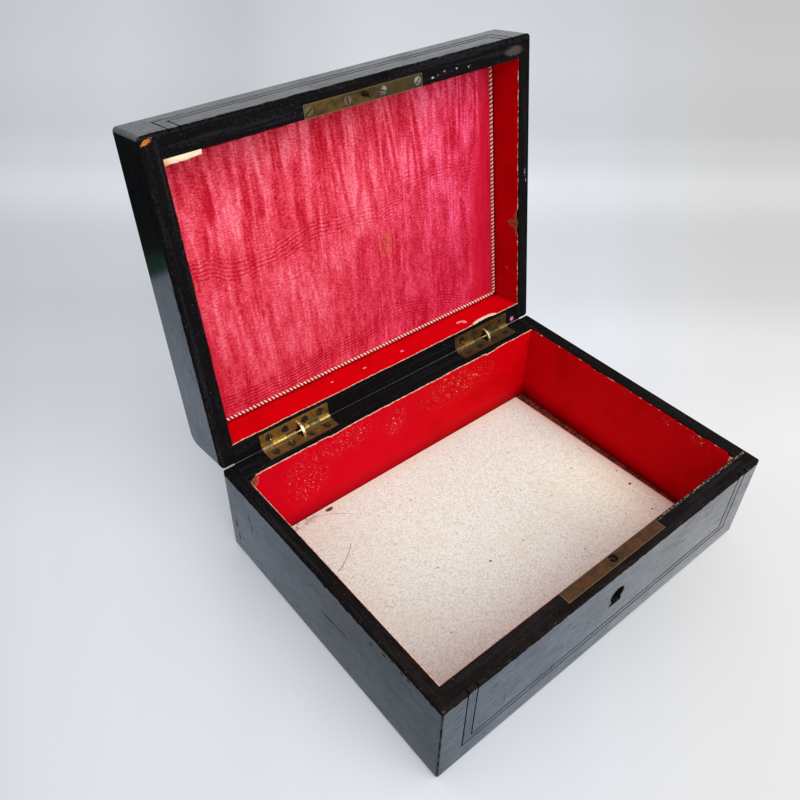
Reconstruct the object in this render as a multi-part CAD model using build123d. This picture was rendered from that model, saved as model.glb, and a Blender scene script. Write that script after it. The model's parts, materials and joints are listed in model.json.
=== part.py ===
# An ebonised wooden glove box with a hinged lid, in millimetres: X to the right, Y to the back, Z up.
# The origin is the centre of the underside. The lid is drawn shut and then turned open about its pins.
from build123d import *
from math import asin, cos, degrees, radians, sin
import os

os.makedirs("parts", exist_ok=True)

# Outside of the case and the lid
box_width = 250.0
box_depth = 188.6
body_height = 65.0
lid_front_height = 30.0
lid_back_height = 37.6
lid_crown = 0.9
base_edge_radius = 3.0
upright_edge_radius = 1.2
rim_edge_radius = 0.8
rim_worn_end = 8.0
lid_front_edge_radius = 2.8
lid_back_edge_radius = 8.0
lid_side_edge_radius = 2.2
rim_gap = 0.4
open_angle = 98.4

# Boards of the case
facing_thickness = 3.0
case_front_thickness = 7.2
case_back_thickness = 13.9
case_left_thickness = 7.2
case_right_thickness = 9.4
bottom_thickness = 4.6
bottom_rebate = 3.5

# Boards of the lid
lid_front_thickness = 9.2
lid_back_thickness = 12.2
lid_left_thickness = 9.2
lid_right_thickness = 9.0
lid_inner_depth = 25.2

# Paper linings, floor card and padded lid panel
lining_thickness = 0.5
lining_drop = 0.15
floor_card_thickness = 1.0
floor_card_gap = 0.3
floor_card_back_gap = 7.0
floor_card_front_gap = 2.4
panel_card_thickness = 1.2
panel_gap = 0.3
cord_diameter = 1.6
cord_gap = 0.15
silk_thickness = 2.0
silk_edge_radius = 1.2

# Inlaid banding on the front faces
band_left_border = 15.5
band_right_border = 14.5
band_base_border = 15.2
band_side_width = 6.0
band_base_width = 4.5
band_lid_height = 13.7
band_depth = 0.8
band_line = 0.4

# Hinges
hinge_left_inset = 26.3
hinge_right_inset = 21.3
knuckle_rows = [
    ("case", 7.5),
    ("lid", 9.5),
    ("case", 6.8),
    ("stay", 5.3),
    ("lid", 3.9),
    ("case", 7.7),
    ("lid", 7.8),
]
knuckle_gap = 0.12
leaf_thickness = 0.8
leaf_width = 10.0
leaf_fit = 0.1
pin_inset = 0.1
pin_radius = 0.75
pin_running_fit = 0.05
barrel_radius = 1.7
barrel_clearance = 0.5
stay_radius = 5.8
stay_thickness = 0.9
stay_width = 1.5
stay_clearance = 0.2
stay_pin_radius = 0.35
stay_pin_length = 3.2
stay_stop_gap = 0.08

# Screws
leaf_screw_head = 5.0
leaf_screw_shank = 2.4
leaf_screw_length = 9.0
leaf_screw_inset = 6.1
leaf_screw_pitch = 11.1
leaf_screw_line = 6.0
link_screw_head = 4.8
link_screw_length = 8.0
plate_screw_head = 2.8
plate_screw_shank = 1.4
plate_screw_length = 4.6
screw_cone = 1.3
screw_slot_width = 0.6
screw_slot_depth = 0.45
screw_fit = 0.03
leaf_slot_turns = {"case": 20.0, "lid": 65.0}
leaf_slot_step = 47.0
link_slot_turn = 35.0
link_slot_step = 63.0
plate_slot_step = 40.0
link_screw_inset = 3.2
link_screw_pitch = 24.0

# Lock in the front wall
selvedge_length = 77.4
selvedge_thickness = 1.3
selvedge_front_gap = 0.5
selvedge_shift = -0.2
plate_fit = 0.15
selvedge_gap = 0.3
selvedge_hole = 5.2
lock_center = 0.2
lock_case_width = 56.0
lock_case_bottom = 31.0
lock_sheet = 0.9
lock_plate_width = 70.0
lock_plate_thickness = 0.8
lock_skin = 0.6
keyhole_shift = 0.5
keyhole_height = 41.9
keyhole_diameter = 11.0
keyhole_neck = 7.2
keyhole_foot = 10.6
keyhole_bottom = 33.6
lock_keyhole_diameter = 5.6
lock_keyhole_slot = 2.6
lock_keyhole_drop = 7.5
drill_pin_diameter = 2.2
bolt_length = 36.0
bolt_throw = 3.0
bolt_sheet = 0.9
bolt_clearance = 0.1
bolt_bottom = 46.0
talon_width = 9.0
talon_height = 4.0
spring_sheet = 0.4
spring_width = 2.4
spring_bow = 2.5

# Link plate and stud on the lid rim
link_shift = 0.9
link_length = 77.8
link_width = 7.2
stud_line = 2.4
stud_length = 6.5
stud_head_diameter = 3.2
stud_waist_diameter = 1.9
stud_head_length = 1.6
stud_waist_length = 2.0
stud_chamfer = 0.5
stud_way = 0.35

# Felt plug on the lid's back rim
plug_diameter = 4.7
plug_length = 3.0
plug_proud = 0.12
plug_right_inset = 15.5
plug_back_inset = 3.0

# Places worked out from the sizes
left_x = -box_width / 2
right_x = box_width / 2
front_y = -box_depth / 2
back_y = box_depth / 2
facing_y = front_y + facing_thickness
lid_rim = body_height + rim_gap
pin_y = back_y - pin_inset
pin_z = body_height + rim_gap / 2
pin_axis = Axis((0, pin_y, pin_z), (1, 0, 0))
hinge_width = sum(length for _, length in knuckle_rows)
hinge_starts = {"left": left_x + hinge_left_inset, "right": right_x - hinge_right_inset - hinge_width}
ceiling = lid_rim + lid_inner_depth
reach = 2 * (box_width + box_depth + body_height)
cut_margin = 1.0


def block(x0, x1, y0, y1, z0, z1):
    return Pos((x0 + x1) / 2, (y0 + y1) / 2, (z0 + z1) / 2) * Box(x1 - x0, y1 - y0, z1 - z0)


def rod_along_x(x0, x1, y, z, radius):
    return Pos((x0 + x1) / 2, y, z) * Rot(0, 90, 0) * Cylinder(radius, x1 - x0)


def save(name, shape):
    shape.label = name
    export_step(shape, f"parts/{name}.step")


def save_lid(name, shape):
    save(name, shape.rotate(pin_axis, -open_angle))


def edges_at(shape, test):
    return ShapeList([edge for edge in shape.edges() if test(edge)])


# The rims meet along the hinge line, so their back edges stay square between the worn ends
def square_edge(z0):
    x0, x1 = left_x + rim_worn_end, right_x - rim_worn_end
    return block(x0, x1, back_y - rim_edge_radius, back_y, z0, z0 + rim_edge_radius)


# Solid outer form of the case, with its worn edges; each board keeps the part of it that it holds
def case_form():
    form = block(left_x, right_x, front_y, back_y, 0, body_height)
    form = fillet(form.edges().filter_by(Axis.Z), upright_edge_radius)
    form = fillet(edges_at(form, lambda edge: edge.center().Z < base_edge_radius / 10), base_edge_radius)
    rim_floor = body_height - rim_edge_radius / 10
    form = fillet(edges_at(form, lambda edge: edge.center().Z > rim_floor), rim_edge_radius)
    return form + square_edge(body_height - rim_edge_radius)


# Solid outer form of the lid: its top rises in a shallow curve from the front edge to the back
def lid_form():
    front_top = (front_y, lid_rim + lid_front_height)
    back_top = (back_y, lid_rim + lid_back_height)
    middle = ((front_top[0] + back_top[0]) / 2, (front_top[1] + back_top[1]) / 2 + lid_crown)
    outline = [Line((front_y, lid_rim), front_top), ThreePointArc(front_top, middle, back_top)]
    outline += [Line(back_top, (back_y, lid_rim)), Line((back_y, lid_rim), (front_y, lid_rim))]
    profile = Sketch() + make_face(outline)
    profile = fillet(profile.vertices().sort_by(Axis.Y)[-1], lid_back_edge_radius)
    upper = profile.vertices().filter_by(lambda vertex: vertex.Y > lid_rim + rim_edge_radius)
    profile = fillet(upper.sort_by(Axis.X)[0], lid_front_edge_radius)
    shape = extrude(Plane.YZ.offset(left_x) * profile, amount=box_width)
    flat_side = right_x - lid_side_edge_radius / 2
    ends = edges_at(shape, lambda edge: abs(edge.center().X) > flat_side)
    ends = ends.filter_by(lambda edge: edge.center().Z > lid_rim + rim_edge_radius)
    shape = fillet(ends, lid_side_edge_radius)
    rim_roof = lid_rim + rim_edge_radius / 10
    shape = fillet(edges_at(shape, lambda edge: edge.center().Z < rim_roof), rim_edge_radius)
    return shape + square_edge(lid_rim)


case_outer = case_form()
lid_outer = lid_form()

# Inner faces of the boards, and of the paper linings on them
case_in = {
    "left": left_x + case_left_thickness,
    "right": right_x - case_right_thickness,
    "front": facing_y + case_front_thickness,
    "back": back_y - case_back_thickness,
}
lid_in = {
    "left": left_x + lid_left_thickness,
    "right": right_x - lid_right_thickness,
    "front": facing_y + lid_front_thickness,
    "back": back_y - lid_back_thickness,
}


def inset(sides, amount):
    return {
        "left": sides["left"] + amount,
        "right": sides["right"] - amount,
        "front": sides["front"] + amount,
        "back": sides["back"] - amount,
    }


def fill(sides, z0, z1):
    return block(sides["left"], sides["right"], sides["front"], sides["back"], z0, z1)


# Four boards and a facing: the side boards run from the back to the facing, which covers their ends
def frame_boards(outer, sides, z0, z1):
    left, right, front, back = sides["left"], sides["right"], sides["front"], sides["back"]
    return {
        "facing": outer & block(left_x, right_x, front_y, facing_y, z0, z1 + reach),
        "left_wall": outer & block(left_x, left, facing_y, back_y, z0, z1),
        "right_wall": outer & block(right, right_x, facing_y, back_y, z0, z1),
        "front_wall": outer & block(left, right, facing_y, front, z0, z1),
        "back_wall": outer & block(left, right, back, back_y, z0, z1),
    }


def linings(sides, z0, z1):
    inner = inset(sides, lining_thickness)
    left, right, front, back = sides["left"], sides["right"], sides["front"], sides["back"]
    return {
        "front": block(left, right, front, inner["front"], z0, z1),
        "back": block(left, right, inner["back"], back, z0, z1),
        "left": block(left, inner["left"], inner["front"], inner["back"], z0, z1),
        "right": block(inner["right"], right, inner["front"], inner["back"], z0, z1),
    }


# Banding: a three-sided strip let into the facing, mitred at its corners, with a fine dark line each side
def facing_solid(points):
    face = make_face(Polyline(*points, close=True))
    return extrude(Plane((0, front_y, 0), x_dir=(1, 0, 0), z_dir=(0, 1, 0)) * face, amount=band_depth)


def banding(open_z, base_outer, base_inner):
    sign = 1 if open_z > base_outer else -1
    half = band_line / 2
    outer_left, outer_right = left_x + band_left_border, right_x - band_right_border
    inner_left, inner_right = outer_left + band_side_width, outer_right - band_side_width

    def ring(grow_out, grow_in):
        left, right = outer_left - grow_out, outer_right + grow_out
        left_in, right_in = inner_left + grow_in, inner_right - grow_in
        base, base_in = base_outer - sign * grow_out, base_inner + sign * grow_in
        return {
            "left": [(left, open_z), (left_in, open_z), (left_in, base_in), (left, base)],
            "base": [(left, base), (left_in, base_in), (right_in, base_in), (right, base)],
            "right": [(right, base), (right_in, base_in), (right_in, open_z), (right, open_z)],
        }

    def solid(points):
        return facing_solid([(x, -z) for x, z in points])

    trench = [solid(points) for points in ring(half, half).values()]
    strips = {name: solid(points) for name, points in ring(-half, -half).items()}
    return trench, strips


# Keyhole outline: a round head over a foot that widens downwards
def keyhole_cut(y0, y1):
    head = Pos(lock_center + keyhole_shift, keyhole_height) * Circle(keyhole_diameter / 2)
    neck_z = keyhole_height - keyhole_diameter / 4
    foot = [
        (lock_center + keyhole_shift - keyhole_neck / 2, neck_z),
        (lock_center + keyhole_shift + keyhole_neck / 2, neck_z),
        (lock_center + keyhole_shift + keyhole_foot / 2, keyhole_bottom),
        (lock_center + keyhole_shift - keyhole_foot / 2, keyhole_bottom),
    ]
    outline = head + make_face(Polyline(*foot, close=True))
    return extrude(Plane((0, y1, 0), x_dir=(1, 0, 0), z_dir=(0, -1, 0)) * outline, amount=y1 - y0)


# A countersunk screw pointing down from the origin, and the hole that it needs
def screw(head, shank, length, slot_turn):
    body = Pos(0, 0, -screw_cone / 2) * Cone(shank / 2, head / 2, screw_cone)
    body += Pos(0, 0, -length / 2) * Cylinder(shank / 2, length)
    return body - Rot(0, 0, slot_turn) * Box(2 * head, screw_slot_width, 2 * screw_slot_depth)


def screw_hole(head, shank, length):
    cone = Pos(0, 0, -screw_cone / 2) * Cone(shank / 2 + screw_fit, head / 2 + screw_fit, screw_cone)
    return cone + Pos(0, 0, -length / 2) * Cylinder(shank / 2 + screw_fit, length + 2 * screw_fit)


def over(shape):
    return shape.mirror(Plane((0, 0, pin_z), z_dir=(0, 0, 1)))


# One leaf of a hinge, drawn below the pin: a plate with its own knuckles, a slot for the stay and screw holes
leaf_bottom = pin_z - rim_gap / 2 - leaf_thickness
leaf_edge = pin_y - barrel_radius - barrel_clearance
leaf_screw_y = pin_y - leaf_screw_line


def knuckle_spans(start, owner):
    spans = []
    for name, length in knuckle_rows:
        if name == owner:
            spans.append((start, start + length))
        start += length
    return spans


def leaf_screw_xs(start):
    end = start + hinge_width
    return [
        start + leaf_screw_inset,
        start + leaf_screw_inset + leaf_screw_pitch,
        end - leaf_screw_inset - leaf_screw_pitch,
        end - leaf_screw_inset,
    ]


def leaf_screw_holes(start):
    hole = screw_hole(leaf_screw_head, leaf_screw_shank, leaf_screw_length)
    return [Pos(x, leaf_screw_y, body_height) * hole for x in leaf_screw_xs(start)]


def leaf_screws(start, first_turn):
    group = Part()
    for place, x in enumerate(leaf_screw_xs(start)):
        turn = first_turn + leaf_slot_step * place
        turned = screw(leaf_screw_head, leaf_screw_shank, leaf_screw_length, turn)
        group += Pos(x, leaf_screw_y, body_height) * turned
    return group


def leaf(start, owner):
    plate = block(start, start + hinge_width, pin_y - leaf_width, leaf_edge, leaf_bottom, body_height)
    bore = pin_radius if owner == "case" else pin_radius + pin_running_fit
    for x0, x1 in knuckle_spans(start, owner):
        x0, x1 = x0 + knuckle_gap / 2, x1 - knuckle_gap / 2
        plate += block(x0, x1, leaf_edge - leaf_thickness, pin_y, leaf_bottom, body_height)
        plate += rod_along_x(x0, x1, pin_y, pin_z, barrel_radius)
    plate -= rod_along_x(start - reach, start + reach, pin_y, pin_z, bore)
    stay_x = stay_middle(start)
    slot_half = stay_width / 2 + stay_clearance
    slot_front = pin_y - stay_radius - stay_thickness / 2 - stay_clearance
    plate -= block(stay_x - slot_half, stay_x + slot_half, slot_front, pin_y, leaf_bottom - cut_margin, pin_z)
    return plate - leaf_screw_holes(start)


def stay_middle(start):
    x0, x1 = knuckle_spans(start, "stay")[0]
    return (x0 + x1) / 2


def leaf_recess(start):
    x0, x1 = start - leaf_fit, start + hinge_width + leaf_fit
    return block(x0, x1, pin_y - leaf_width - leaf_fit, back_y + cut_margin, leaf_bottom, pin_z)


# The wood is cut deeper around the knuckles, but it stands under the bare pin beside the stay
def knuckle_recesses(start):
    depth = barrel_radius + barrel_clearance
    stay_x0, stay_x1 = knuckle_spans(start, "stay")[0]
    runs = [(start, stay_x0), (stay_x1, start + hinge_width)]
    y1 = back_y + cut_margin
    return [block(x0 - leaf_fit, x1 + leaf_fit, leaf_edge, y1, pin_z - depth, pin_z) for x0, x1 in runs]


# The stay: a curved strip about the pin with a cross pin near each end, which stops under a leaf when the
# lid is open. Half of it sinks into the case and half into the lid as the lid shuts.
stay_stop_depth = rim_gap / 2 + leaf_thickness + stay_stop_gap + stay_pin_radius
stay_end_angle = degrees(asin(stay_stop_depth / stay_radius))
stay_shut_angle = open_angle / 2 + stay_end_angle


def stay(start):
    first = 180 + stay_end_angle
    last = 180 - open_angle - stay_end_angle
    middle = (first + last) / 2
    ring = Circle(stay_radius + stay_thickness / 2) - Circle(stay_radius - stay_thickness / 2)
    rays = [(reach * cos(radians(angle)), reach * sin(radians(angle))) for angle in (first, middle, last)]
    strip = ring & make_face(Polyline((0, 0), *rays, close=True))
    ends = [(stay_radius * cos(radians(angle)), stay_radius * sin(radians(angle))) for angle in (first, last)]
    for y, z in ends:
        strip += Pos(y, z) * Circle(stay_thickness / 2)
    plane = Plane((stay_middle(start), pin_y, pin_z), x_dir=(0, 1, 0), z_dir=(1, 0, 0))
    shape = extrude(plane * strip, amount=stay_width / 2, both=True)
    for y, z in ends:
        half = stay_pin_length / 2
        x = stay_middle(start)
        shape += rod_along_x(x - half, x + half, pin_y + y, pin_z + z, stay_pin_radius)
    return shape


def stay_mortise(start):
    half = stay_pin_length / 2 + stay_clearance
    x = stay_middle(start)
    front = pin_y - stay_radius - stay_thickness / 2 - stay_clearance
    back = pin_y - stay_radius * cos(radians(stay_shut_angle)) + stay_thickness / 2 + stay_clearance
    depth = stay_radius * sin(radians(stay_shut_angle)) + stay_thickness / 2 + stay_clearance
    return block(x - half, x + half, front, back, pin_z - depth, pin_z)


# Case boards
case_board = frame_boards(case_outer, case_in, 0, body_height)
bottom_sides = inset(case_in, -bottom_rebate)
bottom = fill(bottom_sides, 0, bottom_thickness)
for name in ("left_wall", "right_wall", "front_wall", "back_wall"):
    case_board[name] -= bottom

# Lock: its sheet case stands in a mortise in the front wall, open to the inside and closed by a plate
lock_front = facing_y + lock_skin
lock_back = case_in["front"]
plate_face = lock_back - lock_plate_thickness
selvedge_x = lock_center + selvedge_shift
selvedge_front = facing_y + selvedge_front_gap
selvedge_back = lock_back + lining_thickness
selvedge_base = body_height - selvedge_thickness
key_x = lock_center + keyhole_shift
stud_y = lock_back - stud_line
stud_tip = lid_rim - stud_length
half_case = lock_case_width / 2
half_plate = lock_plate_width / 2
case_face = lock_front + plate_fit
bolt_face = case_face + lock_sheet + bolt_clearance
flange_base = stud_tip + stud_head_length + stud_way
flange_top = flange_base + bolt_sheet
flange_half = bolt_length / 2 - bolt_throw
flange_edge = lock_back - 2 * bolt_clearance
notch_half = flange_half + 2 * bolt_throw


def plate_screw_spots():
    x = (half_case + half_plate) / 2
    low = lock_case_bottom + plate_screw_head
    high = flange_base - plate_screw_head
    turn = Rot(-90, 0, 0)
    return [Pos(lock_center + side * x, lock_back, z) * turn for side in (-1, 1) for z in (low, high)]


def selvedge_span(grow):
    half = selvedge_length / 2 + grow
    x0, x1 = selvedge_x - half, selvedge_x + half
    return block(x0, x1, selvedge_front - grow, selvedge_back, selvedge_base, body_height + grow)


def lock_mortise():
    deep = half_case + plate_fit
    wide = half_plate + plate_fit
    low = lock_case_bottom - plate_fit
    hollow = block(lock_center - deep, lock_center + deep, lock_front, lock_back, low, body_height)
    hollow += block(lock_center - wide, lock_center + wide, plate_face, lock_back, low, body_height)
    hollow += selvedge_span(selvedge_gap)
    for spot in plate_screw_spots():
        hollow += spot * screw_hole(plate_screw_head, plate_screw_shank, plate_screw_length)
    return hollow + keyhole_cut(facing_y - cut_margin, lock_front + cut_margin)


def lock_case():
    x0, x1 = lock_center - half_case, lock_center + half_case
    shell = block(x0, x1, case_face, plate_face, lock_case_bottom, selvedge_base)
    inner_x0, inner_x1 = x0 + lock_sheet, x1 - lock_sheet
    floor_z = lock_case_bottom + lock_sheet
    shell -= block(inner_x0, inner_x1, case_face + lock_sheet, plate_face, floor_z, reach)
    ledge_x = bolt_length / 2 - bolt_throw
    ledge_top = bolt_bottom - bolt_clearance
    ledge_y = bolt_face + bolt_sheet
    for x in (lock_center - ledge_x, lock_center + ledge_x):
        shell += block(x - bolt_throw, x + bolt_throw, case_face, ledge_y, ledge_top - lock_sheet, ledge_top)
    cut_start = (key_x, case_face + lock_sheet + cut_margin, keyhole_height)
    plane = Plane(cut_start, x_dir=(1, 0, 0), z_dir=(0, -1, 0))
    slot = Pos(0, -lock_keyhole_drop / 2) * Rectangle(lock_keyhole_slot, lock_keyhole_drop)
    keyhole = Circle(lock_keyhole_diameter / 2) + slot
    return shell - extrude(plane * keyhole, amount=lock_sheet + 2 * cut_margin)


def lock_plate():
    x0, x1 = lock_center - half_plate, lock_center + half_plate
    plate = block(x0, x1, plate_face, lock_back, lock_case_bottom, selvedge_base)
    notch_x0, notch_x1 = lock_center - notch_half, lock_center + notch_half
    plate -= block(notch_x0, notch_x1, plate_face, lock_back, flange_base - stud_way, reach)
    for spot in plate_screw_spots():
        plate -= spot * screw_hole(plate_screw_head, plate_screw_shank, plate_screw_length)
    return plate


def drill_pin():
    length = plate_face - case_face - lock_sheet / 2
    pin = Rot(90, 0, 0) * Cylinder(drill_pin_diameter / 2, length)
    return Pos(key_x, plate_face - length / 2, keyhole_height) * pin


# The bolt slides along X. Its flange has a round way in for the stud,
# and a slot that closes on the stud's waist.
def bolt():
    half = bolt_length / 2
    x0, x1 = lock_center - half, lock_center + half
    shape = block(x0, x1, bolt_face, bolt_face + bolt_sheet, bolt_bottom, flange_top)
    flange_x0, flange_x1 = lock_center - flange_half, lock_center + flange_half
    shape += block(flange_x0, flange_x1, bolt_face, flange_edge, flange_base, flange_top)
    way = stud_head_diameter / 2 + stud_way
    slot = stud_waist_diameter / 2 + stud_way
    cut = Pos(lock_center, stud_y, flange_base) * Cylinder(way, 2 * (bolt_sheet + cut_margin))
    low, high = flange_base - cut_margin, flange_top + cut_margin
    cut += block(lock_center - bolt_throw - slot, lock_center, stud_y - slot, stud_y + slot, low, high)
    talon_x0, talon_x1 = key_x - talon_width / 2, key_x + talon_width / 2
    talon = block(talon_x0, talon_x1, case_face, lock_back, 0, bolt_bottom + talon_height)
    return shape - cut - talon


# A bowed strip spring, fast to the side of the lock case, whose free end lies just over the bolt
def bolt_spring():
    x0 = lock_center - half_case + lock_sheet
    x1 = lock_center - flange_half + 2 * bolt_throw
    low = flange_top + 2 * bolt_clearance
    top = low + spring_bow / 2
    middle_x = (x0 + x1) / 2
    root = low - spring_bow
    lower = ThreePointArc((x0, root), (middle_x, top - spring_sheet), (x1, low))
    upper = ThreePointArc((x1, low + spring_sheet), (middle_x, top), (x0, root + spring_sheet))
    joined = [lower, Line(lower @ 1, upper @ 0), upper, Line(upper @ 1, lower @ 0)]
    plane = Plane((0, bolt_face + spring_width, 0), x_dir=(1, 0, 0), z_dir=(0, -1, 0))
    return extrude(plane * make_face(joined), amount=spring_width)


stud_hole = Cylinder(selvedge_hole / 2, 2 * (selvedge_thickness + cut_margin))
selvedge = selvedge_span(0) - Pos(lock_center, stud_y, body_height) * stud_hole

# Case: boards, with what is let into them
recesses = []
for start in hinge_starts.values():
    recesses += [leaf_recess(start)] + knuckle_recesses(start)
mortises = [stay_mortise(start) for start in hinge_starts.values()]
screw_holes = [hole for start in hinge_starts.values() for hole in leaf_screw_holes(start)]
case_board["back_wall"] -= recesses + mortises + screw_holes
case_board["left_wall"] -= recesses
case_board["right_wall"] -= recesses
case_board["front_wall"] -= lock_mortise()
case_board["facing"] -= keyhole_cut(front_y - cut_margin, facing_y + cut_margin)

band_base = band_base_border
trench, strips = banding(body_height + cut_margin, band_base, band_base + band_base_width)
case_board["facing"] -= trench
save("case_bottom_board", bottom & case_outer)
for name, board in case_board.items():
    save(f"case_{name}", board)
for name, strip in strips.items():
    save(f"case_banding_{name}", strip & case_outer)

case_linings = linings(case_in, bottom_thickness, body_height - lining_drop)
case_linings["front"] -= selvedge_span(plate_fit)
for name, sheet in case_linings.items():
    save(f"case_lining_{name}", sheet)

card = inset(case_in, lining_thickness + floor_card_gap)
card_right = case_in["right"] - lining_thickness
card_points = [
    (card["left"], card["front"]),
    (card_right - floor_card_front_gap, card["front"]),
    (card_right - floor_card_back_gap, card["back"]),
    (card["left"], card["back"]),
]
card_face = make_face(Polyline(*card_points, close=True))
save("case_floor_card", extrude(Pos(0, 0, bottom_thickness) * card_face, amount=floor_card_thickness))

# Lid: boards under a shaped top board
lid_board = frame_boards(lid_outer, lid_in, lid_rim, ceiling)
lid_board["top_board"] = lid_outer & block(left_x, right_x, facing_y, back_y, ceiling, reach)
lid_cuts = [over(cut) for cut in recesses + mortises + screw_holes]
for name in ("back_wall", "left_wall", "right_wall"):
    lid_board[name] -= lid_cuts

# Link plate with its screws and stud, in the lid's front rim
link_x = lock_center + link_shift
link_back = lid_in["front"] + lining_thickness
link_front = link_back - link_width
link_top = lid_rim + selvedge_thickness


def link_span(grow):
    half = link_length / 2 + grow
    return block(link_x - half, link_x + half, link_front - grow, link_back, lid_rim - grow, link_top)


link_ends = link_length / 2 - link_screw_inset
link_screw_xs = [link_x - link_ends, link_x - link_ends + link_screw_pitch]
link_screw_xs += [link_x + link_ends - link_screw_pitch, link_x + link_ends]
link_screw_y = (link_front + link_back) / 2
link_screw_group = Part()
link_holes = []
for place, x in enumerate(link_screw_xs):
    spot = Pos(x, link_screw_y, lid_rim) * Rot(180, 0, 0)
    turn = link_slot_turn + link_slot_step * place
    link_screw_group += spot * screw(link_screw_head, leaf_screw_shank, link_screw_length, turn)
    link_holes.append(spot * screw_hole(link_screw_head, leaf_screw_shank, link_screw_length))
lid_board["front_wall"] -= [link_span(plate_fit)] + link_holes
link_plate = link_span(0) - link_holes
rivet_hole = Cylinder(stud_waist_diameter / 2 + screw_fit, 2 * (selvedge_thickness + cut_margin))
link_plate -= Pos(lock_center, stud_y, link_top) * rivet_hole

collar_length = stud_length - stud_head_length - stud_waist_length
stud_head = Cylinder(stud_head_diameter / 2, stud_head_length)
stud = Pos(lock_center, stud_y, stud_tip + stud_head_length / 2) * stud_head
stud = chamfer(stud.edges().sort_by(Axis.Z)[0], stud_chamfer)
stud_collar = Cylinder(stud_head_diameter / 2, collar_length)
stud += Pos(lock_center, stud_y, lid_rim - collar_length / 2) * stud_collar
shank_length = link_top - stud_tip - stud_head_length / 2
stud_shank = Cylinder(stud_waist_diameter / 2, shank_length)
stud += Pos(lock_center, stud_y, link_top - shank_length / 2) * stud_shank

plug_spot = Pos(right_x - plug_right_inset, back_y - plug_back_inset, lid_rim)
plug_rod = Cylinder(plug_diameter / 2, plug_length + plug_proud)
plug = plug_spot * Pos(0, 0, (plug_length - plug_proud) / 2) * plug_rod
plug_hole = Pos(0, 0, plug_length / 2) * Cylinder(plug_diameter / 2 + screw_fit, plug_length)
lid_board["back_wall"] -= plug_spot * plug_hole

lid_band = lid_rim + band_lid_height
trench, strips = banding(lid_rim - cut_margin, lid_band + band_base_width, lid_band)
lid_board["facing"] -= trench
for name, board in lid_board.items():
    save_lid(f"lid_{name}", board)
for name, strip in strips.items():
    save_lid("lid_banding_" + name.replace("base", "top"), strip & lid_outer)

lid_linings = linings(lid_in, lid_rim + lining_drop, ceiling)
lid_linings["front"] -= link_span(plate_fit)
for name, sheet in lid_linings.items():
    save_lid(f"lid_lining_{name}", sheet)

# Padded panel: card, silk cushion and a cord that covers its edge
panel = inset(lid_in, lining_thickness + panel_gap)
card_z = ceiling - panel_card_thickness
save_lid("lid_panel_card", fill(panel, card_z, ceiling))
cushion_sides = inset(lid_in, lining_thickness + 2 * cord_gap + cord_diameter)
cushion = fill(cushion_sides, card_z - silk_thickness, card_z)
cushion = fillet(cushion.edges().filter_by(Axis.Z), cord_diameter)
cushion = fillet(cushion.faces().sort_by(Axis.Z)[0].edges(), silk_edge_radius)
save_lid("lid_silk_cushion", cushion)
cord_sides = inset(lid_in, lining_thickness + cord_gap + cord_diameter / 2)
cord_z = card_z - cord_diameter / 2
cord_x = (cord_sides["left"] + cord_sides["right"]) / 2
cord_y = (cord_sides["front"] + cord_sides["back"]) / 2
cord_loop = RectangleRounded(
    cord_sides["right"] - cord_sides["left"], cord_sides["back"] - cord_sides["front"], cord_diameter
)
cord_path = (Pos(cord_x, cord_y, cord_z) * cord_loop).wire()
cord_round = Plane(cord_path @ 0, z_dir=cord_path % 0) * Circle(cord_diameter / 2)
save_lid("lid_edge_cord", sweep(cord_round, path=cord_path))
save_lid("lid_link_plate", link_plate)
save_lid("lid_link_screws", link_screw_group)
save_lid("lid_link_stud", stud)
save_lid("lid_felt_plug", plug)

# Hinges: two leaves, a pin, a stay and eight screws each
for side, start in hinge_starts.items():
    name = f"hinge_{side}"
    save(f"{name}_case_leaf", leaf(start, "case"))
    save_lid(f"{name}_lid_leaf", over(leaf(start, "lid")))
    save(f"{name}_pin", rod_along_x(start, start + hinge_width, pin_y, pin_z, pin_radius))
    save(f"{name}_case_screws", leaf_screws(start, leaf_slot_turns["case"]))
    save_lid(f"{name}_lid_screws", over(leaf_screws(start, leaf_slot_turns["lid"])))
    save(f"{name}_stay", stay(start))

# Lock
plate_screws = Part()
for place, spot in enumerate(plate_screw_spots()):
    turn = plate_slot_step * place
    plate_screws += spot * screw(plate_screw_head, plate_screw_shank, plate_screw_length, turn)
save("lock_selvedge", selvedge)
save("lock_case", lock_case())
save("lock_plate", lock_plate())
save("lock_drill_pin", drill_pin())
save("lock_bolt", bolt())
save("lock_spring", bolt_spring())
save("lock_screws", plate_screws)
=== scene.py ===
import json
import math
from functools import partialmethod

import bmesh
import bpy
import numpy as np
from mathutils import Matrix, Vector


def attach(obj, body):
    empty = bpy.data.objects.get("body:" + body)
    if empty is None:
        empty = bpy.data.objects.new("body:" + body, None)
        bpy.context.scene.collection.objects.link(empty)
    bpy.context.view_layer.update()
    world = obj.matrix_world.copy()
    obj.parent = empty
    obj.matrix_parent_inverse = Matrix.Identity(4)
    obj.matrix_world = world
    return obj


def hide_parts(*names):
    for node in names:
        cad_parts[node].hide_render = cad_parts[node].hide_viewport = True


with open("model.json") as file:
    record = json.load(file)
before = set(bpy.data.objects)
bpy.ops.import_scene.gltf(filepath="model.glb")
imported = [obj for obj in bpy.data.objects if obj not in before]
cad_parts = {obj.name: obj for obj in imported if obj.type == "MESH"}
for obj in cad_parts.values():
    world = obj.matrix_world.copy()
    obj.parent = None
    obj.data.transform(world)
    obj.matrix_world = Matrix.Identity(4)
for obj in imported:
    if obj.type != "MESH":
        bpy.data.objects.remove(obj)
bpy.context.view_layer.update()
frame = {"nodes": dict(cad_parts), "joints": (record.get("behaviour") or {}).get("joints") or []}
nodes = frame["nodes"]
scene = bpy.context.scene
metre = 1000  # millimetres in one; shapes and patterns are worked out in millimetres

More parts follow.
